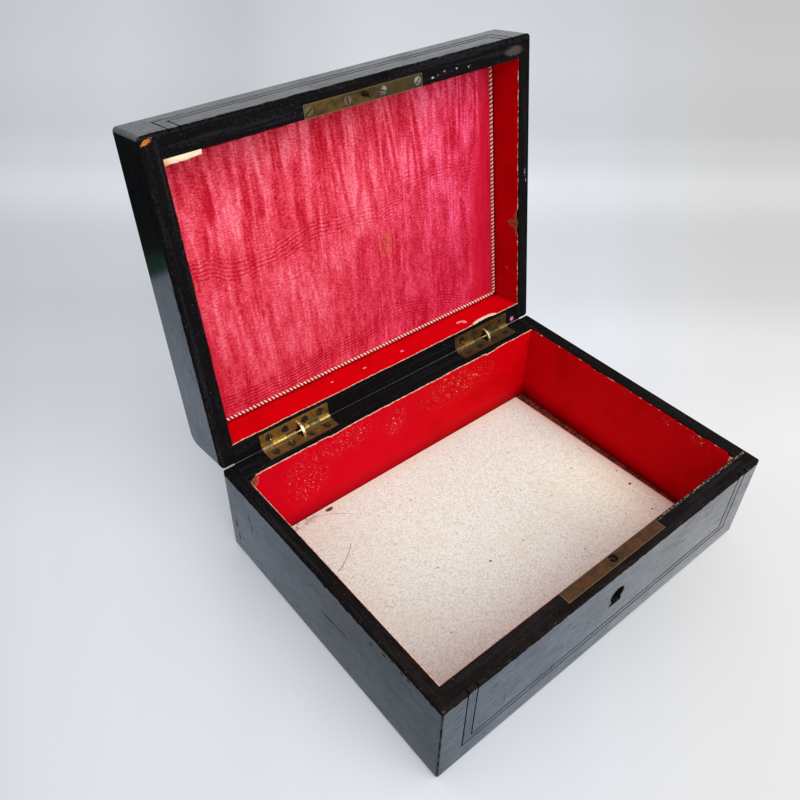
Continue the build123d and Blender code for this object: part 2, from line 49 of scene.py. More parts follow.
lidJoint = next(joint for joint in frame["joints"] if joint["name"] == "lid_hinge")
pin = np.array(lidJoint["pos_m"]) * metre
openAngle = math.radians(max(lidJoint["range_deg"]))


class Wire:
    # one output socket; arithmetic on it adds Math nodes
    def __init__(self, paint, socket):
        self.paint, self.socket = paint, socket

    def __abs__(self):
        return self.paint.maths("ABSOLUTE", self)


def mathsMethod(operation, swapped=False):
    def method(self, other):
        pair = (other, self) if swapped else (self, other)
        return self.paint.maths(operation, *pair)
    return method


for word, operation in (("add", "ADD"), ("sub", "SUBTRACT"), ("mul", "MULTIPLY"), ("truediv", "DIVIDE")):
    setattr(Wire, f"__{word}__", mathsMethod(operation))
    setattr(Wire, f"__r{word}__", mathsMethod(operation, True))


class Paint:
    # a material, or the world, with its nodes
    def __init__(self, name, owner=None):
        self.owner = owner or bpy.data.materials.new(name)
        self.owner.use_nodes = True
        self.tree = self.owner.node_tree
        self.tree.nodes.clear()

    def node(self, kind, inputs={}, settings={}, output=0):
        made = self.tree.nodes.new("ShaderNode" + kind)
        for key, value in settings.items():
            setattr(made, key, value)
        for key, value in inputs.items():
            if isinstance(value, Wire):
                self.tree.links.new(value.socket, made.inputs[key])
            else:
                made.inputs[key].default_value = value
        return Wire(self, made.outputs[output]) if len(made.outputs) else made

    def maths(self, operation, *values):
        return self.node("Math", dict(enumerate(values)), {"operation": operation})

    larger = partialmethod(maths, "MAXIMUM")
    smaller = partialmethod(maths, "MINIMUM")
    sine = partialmethod(maths, "SINE")

    def spread(self, where, by):
        return self.node("VectorMath", {0: where, 1: by}, {"operation": "MULTIPLY"})

    def split(self, where):
        made = self.node("SeparateXYZ", {0: where})
        return [Wire(self, socket) for socket in made.socket.node.outputs]

    def join(self, x, y, z):
        return self.node("CombineXYZ", {0: x, 1: y, 2: z})

    def noise(self, where, scale=1, detail=3, roughness=0.5):
        # a scale for each axis stretches the pattern
        if isinstance(scale, tuple):
            where, scale = self.spread(where, scale), 1
        inputs = {"Vector": where, "Scale": scale, "Detail": detail, "Roughness": roughness}
        return self.node("TexNoise", inputs)

    def rise(self, value, low, high):
        # 0 at low and 1 at high, smooth between; low may be the larger
        inputs = {"Value": value, "From Min": low, "From Max": high}
        return self.node("MapRange", inputs, {"interpolation_type": "SMOOTHSTEP"})

    def band(self, value, low, high, soft):
        return self.rise(value, low - soft, low + soft) * self.rise(value, high + soft, high - soft)

    def inset(self, x, y, low, high):
        # how far a spot lies inside a rectangle
        return self.smaller(self.smaller(x - low[0], high[0] - x), self.smaller(y - low[1], high[1] - y))

    def distance(self, across, along, spot, reach=(1, 1)):
        # from a spot on a flat face, as a share of the reach each way
        here = self.join(across / reach[0], along / reach[1], 0)
        there = (spot[0] / reach[0], spot[1] / reach[1], 0)
        return self.node("VectorMath", {0: here, 1: there}, {"operation": "DISTANCE"}, 1)

    def patches(self, across, along, spots, soft=0.3):
        # 1 inside each of the spots, given as (across, along, reach across, reach along)
        total = 0
        for *spot, reachAcross, reachAlong in spots:
            away = self.distance(across, along, spot, (reachAcross, reachAlong))
            total = self.larger(self.rise(away, 1 + soft, 1 - soft), total)
        return total

    def path(self, value, knots):
        # a smooth line through the knots (value, height)
        spots, heights = zip(*knots)
        low, high = min(heights), max(heights)
        share = self.node("MapRange", {"Value": value, "From Min": spots[0], "From Max": spots[-1]})
        made = self.node("ValToRGB", {"Fac": share})
        ramp = made.socket.node.color_ramp
        for number, (spot, height) in enumerate(knots):
            spot, level = (spot - spots[0]) / (spots[-1] - spots[0]), (height - low) / (high - low)
            stop = ramp.elements[number] if number < 2 else ramp.elements.new(spot)
            stop.position, stop.color = spot, (level, level, level, 1)
        ramp.interpolation = "EASE"
        return made * (high - low) + low

    def mix(self, first, second, share):
        colours = [value if isinstance(value, Wire) else (*value, 1) for value in (first, second)]
        return self.node("Mix", {0: share, 6: colours[0], 7: colours[1]}, {"data_type": "RGBA"}, 2)

    def layers(self, colour, *laid):
        # other colours laid over the first in turn, each with its share
        for other, share in laid:
            colour = self.mix(colour, other, share)
        return colour

    def place(self, onLid=False):
        # the spot in millimetres, on the lid as it lies when shut
        where = self.node("TexCoord", output="Object")
        if onLid:
            inputs = {"Vector": where, "Center": tuple(pin / metre), "Angle": openAngle}
            where = self.node("VectorRotate", inputs, {"rotation_type": "X_AXIS"})
        where = self.spread(where, (metre,) * 3)
        return where, *self.split(where)

    def show(self, shader, kind="Material"):
        self.node("Output" + kind, {"Surface": shader})
        return self.owner

    def surface(self, colour, height, depth, roughness, specular, others={}):
        # the height of the bumps comes in units of depth, which is in millimetres
        normal = self.node("Bump", {"Height": height, "Strength": 1, "Distance": depth / metre})
        return self.show(self.node("BsdfPrincipled", {
            "Base Color": colour, "Normal": normal, "Roughness": roughness, "Specular IOR Level": specular,
            **others}))


def dress(material, *names):
    for name in names:
        slots = nodes[name].data.materials
        slots.clear()
        slots.append(material)


def turned(points, angle):
    # points turned about the hinge pins, which lie along X
    y, z = points[..., 1] - pin[1], points[..., 2] - pin[2]
    c, s = math.cos(angle), math.sin(angle)
    return np.stack([points[..., 0], pin[1] + y * c - z * s, pin[2] + y * s + z * c], -1)


def pointsOf(mesh):
    points = np.empty(len(mesh.vertices) * 3)
    mesh.vertices.foreach_get("co", points)
    return points.reshape(-1, 3)


def nodeBox(name):
    # lowest and highest corner in millimetres, on the lid as it lies when shut
    points = pointsOf(nodes[name].data) * metre
    if name.startswith("lid"):
        points = turned(points, openAngle)
    return points.min(0), points.max(0)


def gridFaces(rows, columns, wrapRows=False, wrapColumns=False):
    r = np.arange(rows if wrapRows else rows - 1)
    c = np.arange(columns if wrapColumns else columns - 1)
    r, c = np.meshgrid(r, c, indexing="ij")
    below, right = (r + 1) % rows * columns, (c + 1) % columns
    r = r * columns
    return np.stack([r + c, below + c, below + right, r + right], -1).reshape(-1, 4)


def slab(near, far):
    # two grids of points of one size, joined round the edge into a closed slab
    rows, columns = near.shape[:2]
    total = rows * columns
    left, top = np.arange(rows) * columns, np.arange(columns)
    ring = np.concatenate([left, top[1:] + left[-1], left[-2::-1] + columns - 1, top[-2:0:-1]])
    following = np.roll(ring, -1)
    grid, side = gridFaces(rows, columns), np.stack([ring, following, following + total, ring + total], -1)
    return np.stack([near, far]), np.concatenate([grid, grid[:, ::-1] + total, side])


def placed(name, data):
    made = bpy.data.objects.new(name, data)
    scene.collection.objects.link(made)
    return made


def makePiece(name, points, faces, material, body, slot, uv=None):
    # points in millimetres, those of the lid given as it lies when shut
    points = np.asarray(points, float).reshape(-1, 3)
    if body == "lid":
        points = turned(points, -openAngle)
    mesh = bpy.data.meshes.new(name)
    mesh.from_pydata((points / metre).tolist(), [], [list(face) for face in faces])
    if uv is not None:
        corners = np.empty(len(mesh.loops), int)
        mesh.loops.foreach_get("vertex_index", corners)
        corners = np.asarray(uv, float).reshape(-1, 2)[corners]
        mesh.uv_layers.new(name="UVMap").data.foreach_set("uv", corners.ravel())
    mesh.polygons.foreach_set("use_smooth", [True] * len(mesh.polygons))
    mesh.materials.append(material)
    piece = placed(name, mesh)
    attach(piece, body)
    shell = bmesh.new()
    shell.from_mesh(piece.data)
    bmesh.ops.recalc_face_normals(shell, faces=shell.faces)
    shell.to_mesh(piece.data)
    shell.free()
    return piece


def wander(along, spacing, seed, power=1):
    # smooth chance values from 0 to 1, one knot every spacing millimetres
    knots = np.arange(along.min() - spacing, along.max() + 2 * spacing, spacing)
    values = np.random.default_rng(seed).random(len(knots)) ** power
    return np.interp(along, knots, values)


camera = {"place": (-0.256429, -0.215353, 0.398641), "lens": 36.363, "sensor": 36, "nearest": 0.01,
          "right": (0.77100388, -0.6366215, 0.01631224),
          "up": (0.40705772, 0.51235768, 0.75617037),
          "behind": (-0.48975201, -0.57637026, 0.65417145)}
cameraObject = placed("camera", bpy.data.cameras.new("camera"))
cameraObject.data.lens = camera["lens"]
cameraObject.data.sensor_width = camera["sensor"]
cameraObject.data.clip_start = camera["nearest"]
axes = np.array([camera["right"], camera["up"], camera["behind"]]).T
cameraObject.matrix_world = Matrix.Translation(camera["place"]) @ Matrix(axes.tolist()).to_4x4()
scene.camera = cameraObject
print("camera set")


# Ebonised wood: black stain under a coat of polish, rubbed off at the rims and the arrises
wood = {"black": (0.004, 0.0037, 0.0042), "brown": (0.03, 0.019, 0.013), "bare": (0.55, 0.2, 0.045),
        "grey": (0.03, 0.029, 0.031), "pale": (0.45, 0.42, 0.38), "pit": (0.0015, 0.0015, 0.0015),
        "halfWidth": 125, "halfDepth": 94.3, "rim": 65, "lidRim": 65.4,
        "inlayX": (-109.5, -103.5, 104.5, 110.5), "inlayCase": (15.2, 19.7), "inlayLid": (83.6, 79.1),
        "keyhole": (0.5, 41),
        "caseSideMarks": [
            (69.5, 46, 0.35, 4.5), (68.3, 37, 0.4, 4), (87.5, 25, 0.9, 3.5), (86, 15, 0.6, 4),
            (-5, 62, 1.8, 1.6), (-22.7, 63, 1.2, 1.2), (-53, 59, 1.6, 1), (-58.7, 61, 1.1, 0.8),
            (-66, 60, 1.2, 0.9), (-70.7, 60, 1, 0.9), (-86.7, 61.5, 1.5, 0.8), (-43, 56, 1.6, 0.8),
            (-6, 35.5, 5, 0.7), (-18, 36.5, 9, 0.5)],
        "lidSideMarks": [
            (46, 67, 1.6, 2.4), (31.8, 75, 1.3, 0.8), (10, 85, 0.5, 1.6), (-18, 71, 0.5, 1.3),
            (57.6, 93, 1, 0.6)],
        "frontMarks": [
            (-82, 28, 0.4, 5), (-84.5, 26, 1.6, 0.4), (-46, 20, 0.4, 3.5), (-72, 1, 0.8, 1.5),
            (-114.5, 44, 1.8, 0.4), (-77, 55, 1.8, 0.5), (41, 47, 9, 0.35), (-20, 4, 0.3, 3)],
        "nicks": [
            (121.4, -12, 0.35, 2.4), (122.4, -6, 0.25, 1), (47.6, -84.6, 0.9, 0.5), (51.6, -85.2, 0.4, 0.4),
            (56.2, -86.3, 0.7, 0.5), (65.6, -86, 0.7, 0.45), (74.6, -85.2, 0.6, 0.5)]}


def inlayLines(p, x, z, onLid, uneven):
    # dark lines each side of the banding, let into the front face; heavier on the right
    outerLeft, innerLeft, innerRight, outerRight = wood["inlayX"]
    outer, inner = wood["inlayLid" if onLid else "inlayCase"]
    width = 0.38 + 0.16 * p.rise(x, -60, 80) + 0.35 * (uneven - 0.5)
    total = 0
    for spot, base in zip(wood["inlayX"], (outer, inner, inner, outer)):
        line = p.rise(abs(x - spot) - width, 0.18, -0.12)
        inside = p.rise(z, base + 0.5, base - 0.5) if onLid else p.rise(z, base - 0.5, base + 0.5)
        total = p.larger(total, line * inside)
    for spot, left, right in ((outer, outerLeft, outerRight), (inner, innerLeft, innerRight)):
        line = p.rise(abs(z - spot) - width, 0.18, -0.12)
        total = p.larger(total, line * p.band(x, left, right, 0.4))
    return total


def ebonised(name, onLid, along, rubbed=3.2, inlay=0, front=False):
    # rubbed: how far below the rim the polish is gone; inlay: how much duller the banding is
    p = Paint(name)
    where, x, y, z = p.place(onLid)
    fibres = p.spread(where, [0.03 if axis == along else 1 for axis in "xyz"])
    grain = p.noise(fibres, 1.3, 5, 0.62)
    hairline = p.rise(p.noise(fibres, 3.1, 2), 0.6, 0.7)
    streak = p.noise(fibres, 0.45, 3, 0.6)
    fine = p.noise(fibres, 2.3, 3, 0.6)
    cloud = p.noise(where, 0.03, 4, 0.6)
    speckle = p.noise(where, 0.8, 3, 0.6)
    scuff = p.noise(where, 0.16, 6, 0.72)
    pit = p.rise(p.noise(where, 0.62, 2), 0.725, 0.745)
    # arrises, where two of the three outer faces meet
    away = z - wood["lidRim"] if onLid else wood["rim"] - z
    nearX = p.rise(abs(x), wood["halfWidth"] - 1.6, wood["halfWidth"] - 0.3)
    nearY = p.rise(abs(y), wood["halfDepth"] - 1.6, wood["halfDepth"] - 0.3)
    nearRim = p.rise(away, 1.6, 0.3)
    arris = nearX * nearY + nearX * nearRim + nearY * nearRim
    chipped = p.rise(arris * (0.5 * speckle + 0.5 * scuff), 0.555, 0.6)
    # the polish is gone from the rim and raggedly for a few millimetres below it
    edge = away + 5 * (scuff - 0.5) + 2.4 * (streak - 0.5)
    matte = p.larger(p.rise(edge, rubbed + 0.35, rubbed - 0.25), p.rise(arris * scuff, 0.4, 0.5))
    onRim = p.rise(away, 0.7, 0.35)
    brownish = (0.35 + 0.65 * p.rise(p.noise(where, 0.07, 6, 0.75), 0.45, 0.66)) * p.rise(away, 2.2, 0.6)
    brownish = brownish * (0.08 if onLid else 0.1 + p.rise(y, 40, -85) * 0.32)
    fleck = p.rise(p.noise(where, (0.81, 2.025, 1.35), 2), 0.745, 0.775) * onRim
    colour = p.layers(
        wood["black"], (wood["grey"], p.rise(grain, 0.45, 0.8) * (0.16 + inlay)), (wood["brown"], brownish),
        (wood["pit"], p.larger(hairline * 0.8, pit)),
        # bluish grey streaks on the rim: scuffs, with a painted sheen where the rim has no polish
        ((0.019, 0.019, 0.023), p.rise(streak + 0.6 * (speckle - 0.5), 0.52, 0.66) * onRim * 0.55),
        (wood["pale"], fleck * 0.5), ((0.085, 0.04, 0.022), chipped * 0.75))
    if onLid:
        # bare wood at the front left corner, and small pale nicks on the right and front rims
        corner = p.distance(x, y + 0.35 * (x + 121), (-121.3, -91.4), (3.1, 1.2))
        corner = corner + 1.6 * (speckle - 0.5) + 1.2 * (scuff - 0.5)
        corner = p.rise(corner, 1, 0.85) * p.rise(away, 1.9, 1.2)
        nicks = p.patches(x, y, wood["nicks"], 0.5) * onRim * p.rise(speckle, 0.42, 0.54)
        smear = p.rise(p.distance(x, y, (111, -87), (9, 3.2)) + 1.6 * (scuff - 0.5), 1, 0.5) * onRim
        colour = p.layers(
            colour, (p.mix(wood["bare"], (0.3, 0.085, 0.02), p.rise(scuff, 0.45, 0.6)), corner),
            ((0.6, 0.57, 0.53), nicks * 0.7), ((0.13, 0.105, 0.095), smear * 0.45))
    else:
        # pale nicks along the inner edge of the front rim
        inner = p.rise(abs(y + 84.7 + 1.2 * (scuff - 0.5)), 0.9, 0.3) * p.rise(x, 0, 70) * onRim
        colour = p.mix(colour, (0.58, 0.45, 0.38), inner * p.rise(speckle, 0.5, 0.6) * 0.6)
    line = gouge = 0
    if along == "y":
        marks = wood["lidSideMarks" if onLid else "caseSideMarks"]
        gouge = p.patches(y + 1.6 * (speckle - 0.5), z + 1.6 * (scuff - 0.5), marks, 0.35)
        gouge = gouge * p.rise(x, -123, -124.5) * (0.7 if onLid else 1)
    if front and not onLid:
        gouge = p.patches(x + 1.2 * (speckle - 0.5), z + 1.2 * (scuff - 0.5), wood["frontMarks"], 0.4) * 0.56
    colour = p.mix(colour, (0.006, 0.004, 0.003), gouge)
    if front:
        line = inlayLines(p, x, z, onLid, speckle) * p.rise(y, -91, -93.5)
        colour = p.mix(colour, (0.001, 0.001, 0.001), line)
    if front and not onLid:
        # the polish is worn in a ring round the keyhole
        halo = p.distance(x, z, wood["keyhole"], (1, 1.25)) + 3 * (speckle - 0.5)
        worn = p.rise(scuff, 0.36, 0.56)
        matte = p.larger(matte, p.band(halo, 5.4, 6.9, 0.7) * 0.4 * worn)
        colour = p.mix(colour, (0.13, 0.125, 0.12), p.band(halo, 6.2, 7.6, 0.8) * 0.22 * worn)
    deep, thin, uneven = (0.8, 0.6, 1.3) if front else (0.5, 0.4, 0.9)
    height = grain * deep + fine * thin - hairline - pit * 1.5 - line * 2 - gouge * 3
    height = height + p.noise(where, 0.22, 2) * uneven
    # the coat is missing or thin at each of these
    coat = 1 - matte
    for lost in (0.5 * p.rise(scuff, 0.6, 0.7), 0.7 * hairline, pit, onRim, line, 0.85 * gouge, inlay):
        coat = coat * (1 - lost)
    flow = p.rise(fine, 0.35, 0.65)
    coat = coat * (0.84 + 0.16 * p.rise(cloud, 0.3, 0.6)) * (0.8 + 0.4 * flow if front else 0.9 + 0.2 * flow)
    return p.surface(colour, height, 0.035, roughness=0.6 + 0.2 * matte, specular=0.02, others={
        "Coat Weight": coat, "Coat Roughness": 0.13, "Coat IOR": 1.7})


for owner, frontRubbed, bandRubbed, third in (("case", 3.2, 2.4, "base"), ("lid", 1.4, 1.4, "top")):
    onLid = owner == "lid"
    across = ebonised(f"ebonised {owner}, grain across", onLid, "x")
    dress(across, f"{owner}_front_wall", f"{owner}_back_wall")
    dress(ebonised(f"ebonised {owner} sides", onLid, "y"), f"{owner}_left_wall", f"{owner}_right_wall")
    dress(ebonised(f"ebonised {owner} front", onLid, "x", frontRubbed, 0, True), f"{owner}_facing")
    for side, along in (("left", "z"), ("right", "z"), (third, "x")):
        band = f"{owner}_banding_{side}"
        dress(ebonised(band, onLid, along, bandRubbed, 0.1, True), band)
dress(across, "lid_top_board")
print("wood done")


# The bottom board is dark red where it shows beside the card
def bottomWood():
    p = Paint("bottom board")
    where, _, _, z = p.place()
    grain = p.noise(where, (0.06, 1.2, 1.2), 4, 0.6)
    crumbs = p.rise(p.noise(where, 0.9, 3, 0.6), 0.52, 0.62)
    outside = p.mix((0.02, 0.017, 0.015), (0.06, 0.04, 0.03), grain)
    tinted = p.layers(
        (0.16, 0.014, 0.01), ((0.04, 0.009, 0.007), p.rise(p.noise(where, 0.3, 4), 0.4, 0.6)),
        ((0.55, 0.2, 0.15), crumbs * 0.45))
    colour = p.mix(outside, tinted, p.rise(z, 2, 4))
    return p.surface(colour, grain + crumbs, 0.08, roughness=0.8, specular=0.05)


dress(bottomWood(), "case_bottom_board")


# Red glazed lining paper. Its edge along the rim is torn, and shows the pale core in places
paper = {"red": (0.62, 0, 0.004), "deep": (0.48, 0, 0.001), "bright": (0.74, 0.001, 0.014),
         "crimson": (0.68, 0, 0.013), "core": (0.8, 0.58, 0.43), "pink": (0.72, 0.25, 0.2),
         "residue": (0.16, 0.055, 0.022), "torn": (0.9, 0.74, 0.58), "flaked": (0.85, 0.3, 0.33),
         "thickness": 0.45, "gap": 0.02, "step": 0.7, "rows": 9}


def liningPaper(owner, side, fringe=None, flecked=(), residue=(), torn=(), flaked=(), rimDarkening=0, bare=0, shade=1):
    # fringe: how far down the pale core shows, less bare; flecked, residue, torn and flaked: spots for patches
    onLid, acrossX = owner == "lid", side in ("front", "back")
    p = Paint(("lid " if onLid else "") + side + " lining paper")
    where, x, y, z = p.place(onLid)
    along = x if acrossX else y
    mottled = p.noise(where, 0.05, 5, 0.6)
    fine = p.noise(where, 1.6, 3, 0.6)
    rub = p.noise(where, (0.25, 0.25, 0.9), 4, 0.65)
    crimson = p.rise(x + 60 * (mottled - 0.5), 60, -40) * (0.75 if acrossX and not onLid else 0)
    red = p.layers(
        paper["red"], (paper["deep"], p.rise(mottled, 0.46, 0.66) * 0.6),
        (paper["bright"], p.rise(rub, 0.5, 0.75) * 0.3), (paper["crimson"], crimson),
        ((0.3, 0.001, 0.003), p.rise(fine, 0.66, 0.8) * 0.35))
    # painted shade: shade darkens the red of the right-hand sheets, which get less of the lamp's light
    red = p.spread(red, (shade,) * 3)
    dots = p.noise(where, 1.05, 2, 0.6)
    inputs = {"Vector": where, "Rotation": (0.6, 0.5, 0.6)}
    slanting = p.node("VectorRotate", inputs, {"rotation_type": "EULER_XYZ"})
    scratch = p.noise(slanting, 0.62, 3, 0.7)
    worn = p.rise(dots, 0.775, 0.79) * 0.8
    if flecked:
        cluster = p.patches(along, z, flecked, 0.6)
        flakes = p.noise(where, 0.62, 3, 0.6) + 0.35 * (scratch - 0.5) + 0.05 * cluster
        scraped = p.rise(p.noise(slanting, (1.5, 0.125, 1.5), 2, 0.6), 0.635, 0.69) * 0.5
        worn = p.larger(worn, p.larger(p.rise(flakes, 0.715, 0.75), scraped) * cluster)
    core = p.mix(paper["core"], paper["pink"], p.rise(p.noise(where, 0.5), 0.42, 0.62))
    for spots, tint in ((torn, paper["torn"] if onLid and acrossX else core), (flaked, paper["flaked"])):
        if spots:
            rip = p.patches(along, z, spots, 0.35) + 0.9 * (fine - 0.5) + 0.7 * (scratch - 0.5)
            rip = p.rise(rip, 0.45, 0.6)
            worn, core = p.larger(worn, rip), p.mix(core, tint, rip)
    if fringe is not None:
        length, down, _ = p.split(p.node("TexCoord", output="UV"))
        ragged = p.noise(p.join(length * 0.16, down * 0.05, 0), 1, 6, 0.72)
        depth = fringe * (0.3 + 2.6 * p.rise(ragged, 0.42, 0.8)) + 0.5 * (fine - 0.5) - bare
        worn = p.larger(worn, p.rise(down - depth, 0.16, -0.16))
    colour = p.mix(red, core, worn)
    if residue:
        glue = p.patches(along, z, residue, 0.4) + 1.1 * (scratch - 0.5) + 0.8 * (fine - 0.5)
        brown = p.mix(paper["residue"], (0.4, 0.12, 0.05), p.rise(dots, 0.45, 0.62))
        colour = p.layers(colour, (brown, p.rise(glue, 0.5, 0.66)),
                          ((0.72, 0.44, 0.3), p.band(glue, 0.42, 0.5, 0.05) * 0.7))
    if rimDarkening:
        # darker towards the rim edge
        away = z - wood["lidRim"] if onLid else wood["rim"] - z
        darkening = p.rise(away + 1.5 * (fine - 0.5), 3.5, 0.8) * rimDarkening
        if acrossX and not onLid:
            # painted shade on its back, which shows as a dark hole through the lock
            darkening = p.larger(darkening, p.rise(y, -83.95, -84.05))  # its back, seen through the lock's hole
        colour = p.mix(colour, (0.03, 0.008, 0.006), darkening)
    height = rub * 0.8 + fine * 0.4 + worn * 0.7
    return p.surface(colour, height, 0.05, roughness=0.62 + 0.2 * worn, specular=0.02)


def liningSheet(owner, side, material, tears, seed):
    # A closed loop, up the paper's face, over its torn edge and down its back, carried along the wall.
    # The edge wanders a little below the rim and dips at each tear: (where, half its length, depth).
    node = f"{owner}_lining_{side}"
    low, high = nodeBox(node)
    thin = 0 if high[0] - low[0] < high[1] - low[1] else 1
    length = 1 - thin
    inward = -1 if high[thin] + low[thin] > 0 else 1
    wall = high[thin] if inward < 0 else low[thin]
    u = np.linspace(low[length], high[length], round((high[length] - low[length]) / paper["step"]) + 1)
    rim, foot = (low[2], high[2]) if owner == "lid" else (high[2], low[2])
    drop = 0.05 + 0.3 * wander(u, 1.1, seed) + 0.45 * wander(u, 9, seed + 1, 3)
    for spot, half, depth in tears:
        ramp = np.clip(1 - np.abs(u - spot) / half, 0, 1)
        drop = drop + depth * np.minimum(1, 1.6 * ramp) * (0.7 + 0.6 * wander(u, 1.3, seed + 2))
    top = (rim - drop if foot < rim else rim + drop)[:, None]
    t = 1 - np.linspace(1, 0, paper["rows"]) ** 2.2  # rows crowd towards the edge
    z = foot + (top - foot) * t
    fall = np.abs(top - z)
    lift = 0.35 * wander(u, 4, seed + 3, 2)[:, None] * np.exp(-fall / 1.5)
    face = wall + inward * (paper["thickness"] + lift)
    back = wall + inward * (paper["gap"] + 0.7 * lift)
    across, heights, falls = (
        np.concatenate([up, down[:, ::-1]], 1) for up, down in ((face, back), (z, z), (fall, fall)))
    points = np.empty((*across.shape, 3))
    points[..., thin], points[..., length], points[..., 2] = across, u[:, None], heights
    count = across.shape[1]
    faces = gridFaces(len(u), count, wrapColumns=True).tolist()
    ends = [list(range(count)), list(range((len(u) - 1) * count, len(u) * count))]
    uv = np.stack([np.broadcast_to(u[:, None], falls.shape), falls], -1)
    piece = makePiece(f"paper_{owner}_{side}", points, faces + ends, material, owner, "lining_paper", uv)
    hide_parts(node)


# for each sheet: the look of its paper, its tears and its seed
linings = {
    ("case", "back"): ({"fringe": 0.62, "residue": [(-117, 61, 6, 6.5)], "flecked": [
        (-78, 42, 14, 20), (-8, 48, 9, 12), (-48, 54, 20, 10), (45, 50, 30, 12)]},
        [(-117, 5, 3.6), (-57, 6, 0.7), (75, 7, 0.8)], 11),
    ("case", "left"): ({"fringe": 0.4, "flecked": [(40, 30, 20, 14)]}, [(80, 4, 2.5)], 21),
    ("case", "right"): ({"fringe": 0.5, "flecked": [(-37, 59.6, 4, 3), (-3.4, 61.9, 3, 2), (-60.7, 60.5, 7, 4)],
                         "torn": [(-83, 61, 2.2, 4.2), (8, 65, 3, 0.7)], "bare": 0.55, "shade": 0.86},
                        [(-60, 5, 0.6), (20, 8, 0.5), (-81, 3, 1.4)], 31),
    ("lid", "back"): ({"fringe": 0.34, "torn": [(84.5, 66.6, 11, 3)], "flaked": [
        (69, 76, 2.6, 1.2), (71.8, 74.1, 1.6, 2.2), (-12.6, 76.5, 1.3, 0.9), (-37, 78.2, 1.1, 0.7),
        (17.3, 75, 1.3, 1)]}, [(84, 9, 0.9)], 41),
    ("lid", "left"): ({"fringe": 0.3, "rimDarkening": 0.92, "bare": 0.75}, [], 51),
    ("lid", "right"): ({"fringe": 0.4, "flecked": [(57.4, 75.7, 2, 2)], "bare": 0.3, "shade": 0.74, "residue": [
        (18.5, 66, 5, 2.6), (23, 70.5, 2.3, 3.6), (26.8, 66.4, 3.6, 1.8), (15, 65.2, 3, 1.6)]},
        [(16, 5, 1.2), (26, 4, 0.9)], 61),
    ("lid", "front"): ({"fringe": 0.3, "rimDarkening": 0.92, "bare": 0.75}, [], 71)}
dress(liningPaper("case", "front", rimDarkening=0.9), "case_lining_front")
for (owner, side), (look, tears, seed) in linings.items():
    liningSheet(owner, side, liningPaper(owner, side, **look), tears, seed)


# A strip of the pale paper under the lining stands out from the lid's front left corner
flap = {"from": -115.3, "to": -95.9, "front": -82, "reach": 3.4, "rim": 65.55, "curl": 1.1, "thickness": 0.35,
        "columns": 48, "rows": 10}


def flapPaper():
    p = Paint("paper flap")
    where, x, y, _ = p.place(True)
    fibres = p.noise(where, (0.25, 1.2, 1.2), 4, 0.65)
    colour = p.layers(
        (0.9, 0.74, 0.56), ((0.82, 0.55, 0.34), p.rise(fibres, 0.42, 0.7)),
        ((0.72, 0.3, 0.1), p.rise(x + 5 * (fibres - 0.5), -111, -115) * 0.7),
        ((0.7, 0.2, 0.12), p.rise(y + 1.2 * (fibres - 0.5), -79.6, -78.7) * 0.5))
    return p.surface(colour, fibres, 0.08, roughness=0.85, specular=0.1)


def paperFlap():
    # a thin slab over (along, out): its width wanders, it tapers to the right and its free edge curls down
    u, v = np.meshgrid(np.linspace(0, 1, flap["columns"]), np.linspace(0, 1, flap["rows"]), indexing="ij")
    x = flap["from"] + (flap["to"] - flap["from"]) * u
    reach = flap["reach"] * (1 - 0.28 * u ** 2) * (0.92 + 0.14 * wander(x, 1.6, 7))
    y = flap["front"] + reach * v
    lower = flap["rim"] + flap["curl"] * v ** 2 * (1 - 0.6 * u) - 0.35 * np.sin(math.pi * u) * v
    sheets = [np.stack([x, y, height], -1) for height in (lower, lower + flap["thickness"])]
    makePiece("lid_paper_flap", *slab(*sheets), flapPaper(), "lid", "lining_paper")


paperFlap()
print("linings done")


# Speckled floor card, stained towards its edges, with a few stray fibres lying on it
card = {"light": (0.84, 0.92, 0.84), "mid": (0.66, 0.68, 0.59), "dark": (0.3, 0.25, 0.19),
        "edge": (0.84, 0.66, 0.52), "left": -117, "right": 112.7, "front": -83.4, "back": 79.7, "slope": 4.6,
        "specks": [
            (-14.2, -18.1, 0.9), (-42.2, -1.8, 0.6), (29.6, 19.5, 0.5), (12.9, -19.3, 0.6), (103.7, -30.5, 1.1),
            (84.3, 3.7, 0.6), (106.5, -17.2, 0.7), (97.3, -53.7, 0.7), (80.5, -45.7, 0.5), (61, 42, 0.5),
            (-66, -40, 0.5), (38, -48, 0.6), (-20, 50, 0.5), (55, -5, 0.5)],
        "fibres": [
            ((-71.6, 45.8), (-80, 38.7), (-90.8, 33.1), 0.28), ((-88, 78.4), (-72, 75), (-57, 64.2), 0.16),
            ((-82, -4), (-80.4, -6.6), (-78.5, -4.6), 0.14), ((-30, 52), (-24, 49.5), (-19, 51), 0.1)]}


def arcThrough(first, middle, last):
    # centre and radius of the circle through three places
    a, b, c = (np.array(place) for place in (first, middle, last))
    centre = np.linalg.solve(2 * np.array([b - a, c - a]), [b @ b - a @ a, c @ c - a @ a])
    return centre.tolist(), float(np.linalg.norm(a - centre))


